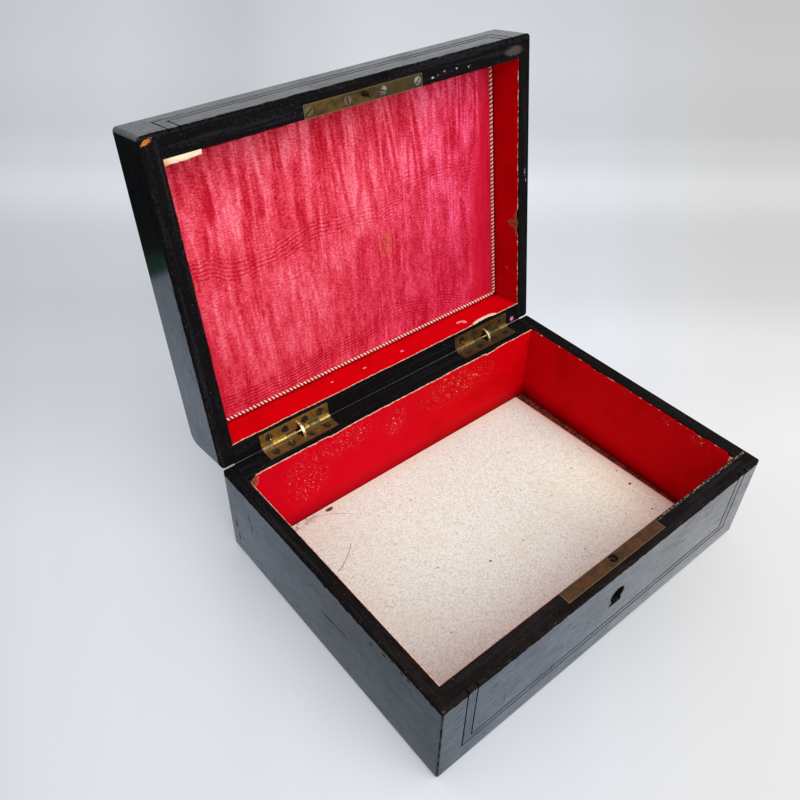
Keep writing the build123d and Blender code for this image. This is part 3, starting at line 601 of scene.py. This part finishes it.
def speckledCard():
    p = Paint("floor card")
    where, x, y, _ = p.place()
    pulp = p.noise(where, 0.85, 6, 0.75)
    grit = p.noise(where, 1.7, 3, 0.65)
    soft = p.noise(where, 0.028, 4, 0.6)
    colour = p.layers(
        card["light"], (card["mid"], p.rise(pulp, 0.44, 0.62)), (card["dark"], p.rise(grit, 0.58, 0.74) * 0.65),
        ((0.98, 1, 0.95), p.rise(grit, 0.38, 0.26) * 0.6), ((0.8, 0.75, 0.62), p.rise(soft, 0.5, 0.72) * 0.35),
        ((0.28, 0.2, 0.14), p.rise(p.noise(where, (0.95, 0.4275, 0.95), 3, 0.6), 0.645, 0.71) * 0.7),
        ((0.58, 0.57, 0.48), p.rise(p.noise(where, 0.42, 3, 0.6), 0.54, 0.68) * 0.35))
    # painted shade darkens the card towards the left, and painted light lightens and warms it towards the right
    # front
    paintedShadeLeft, paintedLightRight = p.rise(x, -20, -100), p.rise(x, 35, 100) * p.rise(y, 50, -15)
    colour = p.spread(colour, p.join(*[1 - 0.1 * paintedShadeLeft + gain * paintedLightRight for gain in (0.16, 0.13, 0.06)]))
    # the edges, and most of all the front corner, are stained
    skew = card["right"] - card["slope"] * (y - card["front"]) / (card["back"] - card["front"])
    inset = p.inset(x, y, (card["left"], card["front"]), (skew, card["back"]))
    tinted = p.rise(inset + 9 * (soft - 0.5) + 3 * (pulp - 0.5), 9, 0)
    corner = p.rise(p.distance(x, y, (-117, -83)) + 12 * (soft - 0.5), 34, 2)
    frayed = p.rise(skew - x + 4 * (pulp - 0.5), 1.3, 0.5)
    # dirt has gathered in the back left corner and along the back edge
    dirt = p.rise(p.distance(x, y, (-108, 79), (42, 9)) + 0.9 * (pulp - 0.5), 1, 0.4)
    dirt = dirt * p.rise(p.noise(where, 0.24, 5, 0.75), 0.46, 0.6)
    clump = p.rise(p.distance(x, y, (-66, 76.5), (4, 2)) + 1.3 * (pulp - 0.5), 0.9, 0.5)
    spots = [(across, along, size * 0.95, size * 0.75) for across, along, size in card["specks"]]
    spots = p.patches(x + 0.5 * (grit - 0.5), y + 0.8 * (pulp - 0.5), spots, 0.4)
    specks = p.larger(p.rise(p.noise(where, 0.62, 2), 0.755, 0.785), spots)
    colour = p.layers(
        colour, (card["edge"], tinted * 0.55), ((0.78, 0.46, 0.32), corner * 0.5),
        ((0.8, 0.38, 0.3), frayed * 0.7), ((0.13, 0.045, 0.022), p.larger(dirt * 0.8, clump)),
        ((0.035, 0.02, 0.012), specks))
    for *places, width in card["fibres"]:
        centre, radius = arcThrough(*places)
        off = abs(p.distance(x, y, centre) - radius)
        across, along = zip(*places)
        line = p.rise(off, width * 1.5, width * 0.5) * p.band(x, min(across), max(across), 0.6)
        colour = p.mix(colour, (0.32, 0.06, 0.05), line * p.band(y, min(along), max(along), 1) * 0.75)
    return p.surface(colour, pulp * 1.2 + grit * 0.5, 0.1, roughness=0.9, specular=0.12)


dress(speckledCard(), "case_floor_card", "lid_panel_card")
print("card done")


# Padded panel of moire silk
silk = {"columns": 168, "rows": 120, "swell": 1.1, "frames": 20, "held": 0.7,
        "light": (0.92, 0.195, 0.265), "pink": (0.72, 0.047, 0.086), "crimson": (0.47, 0, 0.016),
        "deep": (0.58, 0.001, 0.024), "thread": (0.26, 0.003, 0.016), "stain": (0.36, 0.2, 0.03),
        "frontBelt": [
            (-115, -13.5), (-98, -14.5), (-80, -7.4), (-58, -8.6), (-30, -15), (0, -12.5), (19, -10.5),
            (42, -21.5), (65, -22), (93, -15.9), (115, -15)],
        "backBelt": [(-115, 72), (-54, 72.6), (-14, 68), (27, 60), (60, 66), (90, 76), (115, 77)],
        "marks": [(-85.9, 55.5, 0.9, 0.7), (-45.4, 9.5, 3.6, 0.35), (27.5, -22, 1.6, 0.3), (61, 28, 0.5, 0.5)],
        "cloth": {"quality": 6, "mass": 0.15, "tension_stiffness": 8, "compression_stiffness": 8,
                  "bending_stiffness": 0.05, "vertex_group_mass": "held", "use_pressure": True,
                  "uniform_pressure_force": 3}}


def moireSilk():
    p = Paint("moire silk")
    where, x, y, _ = p.place(True)
    # watered figures: long nested tongues that run from front to back, strongest near the front
    front = p.rise(y + 14 * (p.noise(p.join(x * 0.03, 0, 7), 1, 2) - 0.5), 2, -42)
    field = p.noise(where, (0.052, 0.0075, 0), 2, 0.45)
    streak = p.noise(where, (0.15, 0.02, 0), 5, 0.62)
    figure = 0.5 + 0.5 * p.sine((field + 0.1 * (streak - 0.5)) * (math.tau * 6.5))
    thin = p.noise(where, (0.75, 0.06, 0), 4, 0.65)
    grain = p.noise(where, (0.7, 0.85, 0), 5, 0.85)
    ribs = p.noise(where, (0.35, 1.5, 0), 4, 0.75)
    cloud = p.noise(where, (0.022, 0.016, 0), 3, 0.55)
    mottle = p.noise(where, (0.26, 0.16, 0), 3, 0.6)
    tone = 0.47 + (figure - 0.5) * (0.18 + 0.24 * front) + (streak - 0.5) * (0.9 + 0.2 * front)
    for pattern, share in ((thin, 1), (grain, 1.3), (ribs, 2), (cloud, 0.8), (mottle, 0.6)):
        tone = tone + (pattern - 0.5) * share
    # deeper towards the back right corner and along the left edge, with a dark tongue near the left front
    tongue = p.distance(x + 2 * (streak - 0.5), y, (-88.8, -50), (3.4, 27))
    # the left edge is deeper partly as painted shade
    tone = tone - 0.11 * p.rise(x + 0.5 * y, -20, 110) - 0.16 * p.rise(x, -98, -114)
    tone = tone - 0.05 * p.rise(y, 0, 30) - 0.42 * p.rise(tongue, 1.15, 0.35)
    # watered lines: close waves in two belts across the panel, and ripples in the back right quarter
    ripple = 1.3 * p.noise(p.join(x * 0.14, y * 0.02, 0)) + 0.9 * p.noise(p.join(x * 0.035, 0, 3))
    broken = 0.45 + 0.55 * p.rise(p.noise(where, (0.1, 0.3, 0), 3, 0.6), 0.36, 0.56)
    frontAway = y - p.path(x, silk["frontBelt"]) + 2.4 * (ripple - 1.1)
    backAway = y - p.path(x, silk["backBelt"]) + 2.4 * (ripple - 1.1)
    lines = p.rise(p.sine(frontAway * (math.tau / 2.4)), 0.1, 1)
    lines = lines * p.band(frontAway, -6, 6, 3) * (0.45 + 0.55 * p.rise(x, 20, -50)) * broken
    backLines = p.rise(p.sine(backAway * (math.tau / 2.2)), -0.2, 0.9)
    backLines = backLines * p.band(backAway, -7, 6, 2.5) * (0.55 + 0.4 * p.rise(x, 30, -40)) * broken
    quarter = p.patches(x, y, [(66, 48, 34, 26), (60, -12, 40, 16)], 0.5)
    quarter = quarter * p.rise(p.noise(where, (0.05, 0.08, 0), 2), 0.44, 0.6)
    fineLines = p.rise(p.sine((y + 4 * ripple + 0.12 * x) * (math.tau / 1.9)), 0, 0.9)
    tone = tone - 0.46 * lines - 0.52 * backLines - 0.26 * fineLines * quarter * broken
    # broken dark threads lie across the middle and the back
    threads = p.rise(p.noise(where, (0.1, 1.5, 0), 3, 0.6), 0.665, 0.72)
    threads = threads * p.rise(y, -8, 14) * p.rise(cloud, 0.4, 0.55)
    colour = p.layers(silk["crimson"], (silk["pink"], p.rise(tone, 0.05, 0.5)),
                      (silk["light"], p.rise(tone, 0.48, 0.98)), (silk["thread"], threads * 0.4))
    cooler = p.rise(x + 0.3 * y, -20, 90)
    colour = p.spread(colour, p.join(1, 1 - 0.22 * cooler, 1 + 0.18 * cooler))
    # deeper colour at both ends of the panel, then stains and small marks
    # partly painted shade: the panel is deeper towards both ends
    wave = 9 * (p.noise(p.join(0, y * 0.03, 1)) - 0.5) + 3 * (streak - 0.5)
    right = p.rise(x + wave + 10 * p.rise(y, -60, 10) + 6 * (thin - 0.5), 100, 109)
    left = p.rise(wave - x + 6 * p.rise(y, -30, 40), 104, 114)
    stain = p.rise(p.distance(x, y, (21, 10.5), (7, 9)) + 1.6 * (grain - 0.5), 1.1, 0.5)
    colour = p.layers(
        colour, (silk["deep"], right * (0.75 + 0.9 * (thin - 0.5) + 0.5 * (ribs - 0.5))),
        (silk["deep"], left * 0.6), (silk["stain"], stain * p.rise(thin, 0.42, 0.62) * 0.5),
        ((0.16, 0.006, 0.015), p.patches(x, y, silk["marks"], 0.4) * 0.6))
    height = p.noise(where, (3.2, 1.2, 0), 2) * 0.5 + thin * 0.7 + ribs * 0.3 + grain * 0.4 - lines
    sheen = {"Sheen Weight": 0.08, "Sheen Roughness": 0.4}
    return p.surface(colour, height, 0.12, roughness=0.62, specular=0.12, others=sheen)


def silkPad():
    # a flat back, and a face that is crowned, pulled in at the edge and gathered in small pleats that run back
    low, high = nodeBox("lid_silk_cushion")
    u, v = np.meshgrid(np.linspace(0, 1, silk["columns"]), np.linspace(0, 1, silk["rows"]), indexing="ij")
    x, y = low[0] + (high[0] - low[0]) * u, low[1] + (high[1] - low[1]) * v
    inset = np.minimum.reduce([x - low[0], high[0] - x, y - low[1], high[1] - y])
    crown = 1 - np.exp(-inset / 2.2)
    pleats = wander(x + 0.06 * (y - low[1]) * np.sin(x / 23), 2.6, 5)
    pleats = pleats + 0.7 * wander(x + 2.5 * np.sin(y / 31), 5.7, 6)
    pleats = (pleats - 0.8) * (0.1 + 0.34 * np.exp(-(y - low[1]) / 28) + 0.16 * np.exp(-(high[1] - y) / 12))
    face = high[2] - 0.9 - 0.75 * crown - pleats * np.minimum(1, inset / 1.5)
    sheets = [np.stack([x, y, height], -1) for height in (face, np.full_like(x, high[2]))]
    piece = makePiece("silk_panel", *slab(*sheets), moireSilk(), "lid", "silk")
    puffUp(piece, np.concatenate([np.where(inset.ravel() < silk["held"])[0], x.size + np.arange(x.size)]))
    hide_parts("lid_silk_cushion")


def puffUp(piece, held):
    # the face swells between its held edges; no point may move further than the swell
    rest = pointsOf(piece.data)
    piece.vertex_groups.new(name="held").add(held.tolist(), 1, "REPLACE")
    cloth = piece.modifiers.new("swell", "CLOTH")
    for key, value in silk["cloth"].items():
        setattr(cloth.settings, key, value)
    cloth.settings.effector_weights.gravity = 0
    cloth.collision_settings.use_collision = False
    cloth.point_cache.frame_end = silk["frames"]
    for number in range(1, silk["frames"] + 1):
        scene.frame_set(number)
    shown = piece.evaluated_get(bpy.context.evaluated_depsgraph_get())
    move = pointsOf(shown.data) - rest
    piece.modifiers.clear()
    scene.frame_set(1)
    size = np.linalg.norm(move, axis=1, keepdims=True) + 1e-12
    cap = silk["swell"] / metre
    move *= cap * np.tanh(size / cap) / size
    piece.data.vertices.foreach_set("co", (rest + move).ravel())
    piece.data.update()
    piece.vertex_groups.clear()


silkPad()
print("silk done")


# Twisted cord of two strands, sewn round the silk
cord = {"turn": 2.62, "radius": 0.78, "stepsPerTurn": 12, "sides": 6, "corner": 1.6, "strands": {
    "pale": {"phase": 0, "deep": 0.36, "wide": 0.56, "light": (1, 0.8, 0.68), "dark": (0.95, 0.56, 0.48)},
    "red": {"phase": math.pi, "deep": 0.33, "wide": 0.6, "light": (0.52, 0.007, 0.012),
            "dark": (0.2, 0.002, 0.006)}}}


def cordPaint(name, light, dark):
    p = Paint(name)
    where = p.place(True)[0]
    plies = p.noise(where, 2.5, 3, 0.6)
    dirt = p.rise(p.noise(where, 0.12), 0.45, 0.7)
    # dark is a painted shaded copy of the strand's colour, laid between the plies, and also serves as dirt
    colour = p.layers(light, (dark, p.rise(plies, 0.4, 0.8)), (dark, dirt * 0.3))
    return p.surface(colour, plies, 0.08, roughness=0.6, specular=0.15, others={"Sheen Weight": 0.1})


def cordStrand(name):
    # a flattened tube along a helix round the rounded rectangle where the cord is sewn
    strand = cord["strands"][name]
    low, high = nodeBox("lid_edge_cord")
    thick = cord["radius"] + cord["strands"]["pale"]["deep"]
    corner, quarter = cord["corner"], math.pi / 2
    width, depth = (high - low - 2 * thick - 2 * corner)[:2]
    arc = corner * quarter
    total = 2 * (width + depth) + 4 * arc
    turns = round(total / cord["turn"])
    count = turns * cord["stepsPerTurn"]
    s = np.arange(count) / count * total
    path, heading = np.zeros((count, 2)), np.zeros(count)
    spot, start = low[:2] + thick + np.array([corner, 0]), 0
    for number, side in enumerate((width, depth, width, depth)):
        angle = number * quarter
        ahead, left = np.array([[math.cos(angle), math.sin(angle)], [-math.sin(angle), math.cos(angle)]])
        inside = (s >= start) & (s < start + side)
        path[inside] = spot + (s[inside] - start)[:, None] * ahead
        heading[inside] = angle
        start, centre = start + side, spot + side * ahead + corner * left
        inside = (s >= start) & (s < start + arc)
        bend = angle + (s[inside] - start) / corner
        path[inside] = centre + corner * np.stack([np.sin(bend), -np.cos(bend)], -1)
        heading[inside] = bend
        start, spot = start + arc, centre + corner * ahead
    outward = np.stack([np.sin(heading), -np.cos(heading), np.zeros(count)], -1)
    turn = (strand["phase"] - math.tau * turns * s / total)[:, None]
    radial = np.cos(turn) * outward + np.sin(turn) * np.array([0, 0, 1])
    centre = np.column_stack([path, np.full(count, high[2] - thick)]) + cord["radius"] * radial
    tangent = np.roll(centre, -1, 0) - np.roll(centre, 1, 0)
    tangent /= np.linalg.norm(tangent, axis=1, keepdims=True)
    sideways = np.cross(tangent, radial)
    around = (np.arange(cord["sides"]) / cord["sides"] * math.tau)[None, :, None]
    rings = centre[:, None] + (strand["deep"] * np.cos(around) * radial[:, None]
                               + strand["wide"] * np.sin(around) * sideways[:, None])
    faces = gridFaces(count, cord["sides"], True, True)
    material = cordPaint(f"{name} cord", strand["light"], strand["dark"])
    return makePiece(f"cord_{name}_strand", rings, faces, material, "lid", "cord")


paleStrand = cordStrand("pale")
cordStrand("red")
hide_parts("lid_edge_cord")
print("cord done")


# Metal fittings. The shine is the knuckles' rubbed brass and painted highlight along each hinge: (place, share)
hinge = {"start": -252.6, "apart": 153.9, "pin": pin[1:].tolist(), "shine": [
    (0, 0.2), (0.5, 0.9), (7, 0.9), (7.5, 0), (8, 1), (16.5, 0.9), (17, 0), (17.5, 0.35), (23.4, 0.35),
    (23.8, 0), (29.1, 0), (29.6, 0.8), (32.6, 0.7), (33, 0), (33.5, 0.45), (40.2, 0.45), (40.7, 0), (41.2, 1),
    (48, 1), (48.5, 0.2)]}


def metal(name, bright, dull, onLid, patina, roughness, warm=None, knuckle=None, edges=None, metallic=0.95,
          shift=None, slotted=None):
    # warm: orange patches; knuckle: rubbed brass and painted highlight round the pin; edges: the plate's
    # painted rim highlight;
    # shift: from and to in x, the colour and its share; slotted: the height of the screws' dark slots
    p = Paint(name)
    where, x, y, z = p.place(onLid)
    cloud = p.noise(where, 0.2, 5, 0.68)
    fine = p.noise(where, 1.8, 4, 0.6)
    brushed = p.noise(where, (0.2, 3, 3))
    spots = p.rise(p.noise(where, 0.55, 4, 0.7), 0.6, 0.68)
    dark = p.rise(cloud + 0.35 * (fine - 0.5) + 0.25 * (brushed - 0.5), patina + 0.14, patina - 0.12)
    colour = p.mix(bright, dull, dark)
    if warm:
        colour = p.mix(colour, warm, p.rise(p.noise(where, (0.17, 0.221, 0.17)), 0.5, 0.58) * 0.8)
    if shift:
        begin, end, other, share = shift
        colour = p.mix(colour, other, p.rise(x, begin, end) * share)
    colour = p.mix(colour, (0.03, 0.02, 0.012), spots * 0.7)
    if knuckle:
        # rubbed brass and a painted highlight, stronger on some knuckles; dirt fills the joints between them
        browner = p.rise(x, -10, 30) * 0.6
        rubbed = p.rise(p.distance(y, z, hinge["pin"]), 3.4, 2.6) * (1 - spots * 0.6) * (1 - browner * 0.8)
        rubbed = rubbed * p.path(p.maths("MODULO", x - hinge["start"], hinge["apart"]), hinge["shine"])
        colour = p.layers(colour, ((0.06, 0.035, 0.016), browner),
                          (knuckle, rubbed * p.rise(0.6 * fine + 0.4 * cloud, 0.36, 0.56)))
    if slotted:
        colour = p.mix(colour, (0.012, 0.01, 0.008), p.rise(z, slotted + 0.12, slotted + 0.28))
    # painted highlight along the plate's edges
    if edges:
        inset = p.inset(x, y, *nodeBox(edges))
        colour = p.mix(colour, (0.42, 0.28, 0.13), p.rise(inset + 0.5 * (fine - 0.5), 0.4, 0.15) * 0.4)
    roughness = roughness + 0.2 * dark + 0.2 * (fine - 0.5)
    return p.surface(colour, fine * 0.6 + brushed * 0.6 - spots * 0.5, 0.04, roughness, specular=0.25,
                     others={"Metallic": metallic - 0.35 * dark})


def onHinges(material, *parts):
    dress(material, *(f"hinge_{hand}_{part}" for hand in ("left", "right") for part in parts))


onHinges(metal("hinge brass lid", (0.44, 0.31, 0.08), (0.1, 0.068, 0.02), True, 0.46, 0.32, (0.46, 0.22, 0.03),
               (0.52, 0.37, 0.11)), "lid_leaf")
onHinges(metal("hinge brass", (0.24, 0.17, 0.05), (0.08, 0.052, 0.018), False, 0.5, 0.42, (0.22, 0.1, 0.022),
               (0.36, 0.26, 0.14)), "case_leaf")
onHinges(metal("pin brass", (0.75, 0.58, 0.28), (0.35, 0.24, 0.1), False, 0.35, 0.28), "pin")
onHinges(metal("stay brass", (0.92, 0.72, 0.46), (0.55, 0.38, 0.18), False, 0.38, 0.28), "stay")
onHinges(metal("dark screw", (0.22, 0.17, 0.12), (0.03, 0.022, 0.018), False, 0.6, 0.3),
         "case_screws", "lid_screws")
dress(metal("lock brass", (0.105, 0.049, 0.019), (0.042, 0.021, 0.01), False, 0.5, 0.42, (0.115, 0.045, 0.017),
            edges="lock_selvedge", metallic=0.8), "lock_selvedge")
dress(metal("lock steel", (0.16, 0.15, 0.14), (0.05, 0.038, 0.03), False, 0.5, 0.55, metallic=0.7),
      *(f"lock_{part}" for part in ("bolt", "case", "drill_pin", "plate", "screws", "spring")))
dress(metal("link brass", (0.135, 0.08, 0.021), (0.045, 0.027, 0.01), True, 0.5, 0.36, edges="lid_link_plate",
            metallic=0.9, shift=(-10, 30, (0.042, 0.029, 0.014), 0.55)), "lid_link_plate")
dress(metal("stud brass", (0.15, 0.1, 0.035), (0.035, 0.022, 0.01), True, 0.55, 0.35), "lid_link_stud")
dress(metal("link screw", (0.36, 0.34, 0.3), (0.08, 0.07, 0.055), True, 0.5, 0.3,
            slotted=float(nodeBox("lid_link_screws")[0][2]), shift=(2, -12, (0.13, 0.09, 0.04), 0.85)),
      "lid_link_screws")


def plugFelt():
    p = Paint("felt plug")
    where, x, y, _ = p.place(True)
    low, high = nodeBox("lid_felt_plug")
    middle, radius = ((low + high) / 2).tolist(), (high[0] - low[0]) / 2
    fuzz = p.noise(where, 2.2, 4)
    away = p.distance(x, y, middle, (radius, radius)) + 0.25 * (fuzz - 0.5)
    colour = p.layers((0.62, 0.13, 0.28), ((0.85, 0.38, 0.55), fuzz),
                      ((0.1, 0.004, 0.022), p.rise(away, 0.52, 0.7)))
    return p.surface(colour, fuzz, 0.15, roughness=0.85, specular=0.1, others={"Sheen Weight": 0.1})


dress(plugFelt(), "lid_felt_plug")
print("metal done")


# The stage: a floor of pale paper, two cards seen only as a reflection, one soft lamp and the room.
# Sizes are in metres; the tones are (millimetres in depth, tone) and (bearing, tone).
stage = {"half": 4, "low": -0.0001, "room": (0.66, 0.69, 0.72), "light": (0.8, 0.83, 0.87), "level": 0.56,
         "paperShare": 0.42, "shade": 0.14, "cool": (0.95, 0.985, 1.045), "warm": (1, 1, 1.005),
         "depthTone": [
             (-250, 0.735), (-60, 0.765), (60, 0.775), (180, 0.715), (290, 0.625), (380, 0.615), (480, 0.695),
             (570, 0.625), (650, 0.585), (900, 0.62)],
         "sideTone": [
             (-0.36, 0.91), (-0.3, 0.96), (-0.23, 1), (-0.13, 1.03), (-0.07, 1.13), (0, 1.23), (0.1, 1.2),
             (0.2, 1.14), (0.27, 1.06), (0.36, 1.01)],
         "cards": {"green card": (-0.42, 0.405, -0.19, 0.82, 0.0004, (0.012, 0.075, 0.04)),
                   "dark card": (-0.42, 0.44, -0.225, 0.82, 0.0008, (0.002, 0.002, 0.003))}}
lamp = {"place": (-0.02, -0.97, 1.35), "aim": (0, 0, 0.05), "size": 1.6, "power": 29,
        "colour": (1, 0.985, 0.965)}


def floorPaint():
    # Diffuse paper keeps the object's shadow; a share of plain brightness softens it for the camera.
    # Mirror-like surfaces see an even floor that darkens towards the left front.
    p = Paint("pale floor")
    where, x, y, _ = p.place()
    depth = x * 0.6166 + y * 0.787
    side = x * 0.787 - y * 0.6166
    # the floor's tone is painted light and shade, brighter and darker with depth
    tone = p.path(depth + 45 * (p.noise(where, 0.0035) - 0.5), stage["depthTone"])
    # and from side to side, along lines that meet below the front of the stage
    near = p.rise(depth, -420, -120)
    bearing = (side + 69) / p.larger(depth + 673, 250)
    glow = (p.path(bearing, stage["sideTone"]) - 1) * near
    glow = glow * (1 - 0.55 * p.rise(bearing, -0.18, -0.1) * p.rise(depth, 300, 100))
    across = 0.06 * p.band(depth, 60, 260, 60) * (2 * p.rise(bearing, -0.15, 0.25) - 1)
    far = 0.15 * p.rise(bearing, -0.12, -0.24) * p.rise(depth, 150, 700)
    for change in (glow, across, far):
        tone = tone * (1 + change)
    # a cooler tint in the painted shade towards the left and in the distance
    tint = p.mix(stage["warm"], stage["cool"], p.rise(bearing, 0.33, 0.17) * near + 0.5 * (1 - near))
    # far away the paper rises into the tone of the room
    away = p.rise(p.distance(x, y, (0, 0)), 1500, 3300)
    colour = p.mix(p.spread(tint, p.join(tone, tone, tone)), stage["room"], away)
    diffuse = p.node("BsdfDiffuse", {"Color": colour})
    # ambient occlusion darkens the plain share near the object, less on the right; a painted shadow lies right
    # behind it
    behind = p.band(x, -82, 145, 25) * p.band(y, 100, 185, 45) * 0.85
    nearby = p.node("AmbientOcclusion", {"Distance": stage["shade"]}, {"samples": 6}, 1)
    strength = (nearby + (1 - nearby) * (0.3 + 0.5 * p.rise(x, 20, 150))) * (1 - behind)
    strength = strength * (1.06 - 0.06 * away) * (1 - away) + away
    plain = p.node("Emission", {"Color": colour, "Strength": strength})
    share = p.node("LightPath", output="Is Camera Ray") * p.larger(away, 1 - stage["paperShare"])
    seen = p.node("MixShader", {0: share, 1: diffuse, 2: plain})
    ahead = p.smaller(0.88 + 0.0013 * x, 1)
    level = 0.47 + 0.16 * p.rise(y, -10, 130) - 0.12 * p.rise(x, -165, -215)
    beside = p.rise(x, -112, -128)
    level = ahead * (1 - beside) + level * beside
    mirroredTint = p.mix((0.8, 0.91, 1.08), (0.96, 0.99, 1.03), p.rise(x, -60, 120))
    mirrored = p.node("Emission", {"Color": mirroredTint, "Strength": level})
    glossy = p.node("LightPath", output="Is Glossy Ray")
    return p.show(p.node("MixShader", {0: glossy, 1: seen, 2: mirrored}))


def flatCard(name, x0, y0, x1, y1, height, material):
    mesh = bpy.data.meshes.new(name)
    corners = [(x, y, height) for x, y in ((x0, y0), (x1, y0), (x1, y1), (x0, y1))]
    mesh.from_pydata(corners, [], [(0, 1, 2, 3)])
    mesh.materials.append(material)
    made = placed(name, mesh)
    return made


half = stage["half"]
flatCard("floor", -half, -half, half, half, stage["low"], floorPaint())
for name, (*place, colour) in stage["cards"].items():
    # the polish of the lid's left side mirrors them; nothing else sees them
    p = Paint(name)
    card = flatCard(name, *place, p.show(p.node("Emission", {"Color": (*colour, 1), "Strength": 1})))
    card.visible_camera = card.visible_diffuse = card.visible_shadow = card.visible_transmission = False

softbox = placed("front softbox", bpy.data.lights.new("front softbox", "AREA"))
softbox.data.shape, softbox.data.size = "SQUARE", lamp["size"]
softbox.data.energy, softbox.data.color = lamp["power"], lamp["colour"]
softbox.rotation_mode = "QUATERNION"
softbox.location = lamp["place"]
softbox.rotation_quaternion = (Vector(lamp["aim"]) - Vector(lamp["place"])).to_track_quat("-Z", "Y")

# even light from all round; behind the floor the camera sees the floor's own far tone
scene.world = bpy.data.worlds.new("room")
p = Paint("room", scene.world)
direct = p.larger(p.node("LightPath", output="Is Camera Ray"), p.node("LightPath", output="Is Glossy Ray"))
lit = p.node("Background", {"Color": (*stage["light"], 1), "Strength": stage["level"]})
seen = p.node("Background", {"Color": (*stage["room"], 1), "Strength": 1})
p.show(p.node("MixShader", {0: direct, 1: lit, 2: seen}), "World")
scene.view_settings.view_transform = "Standard"
print("stage done")
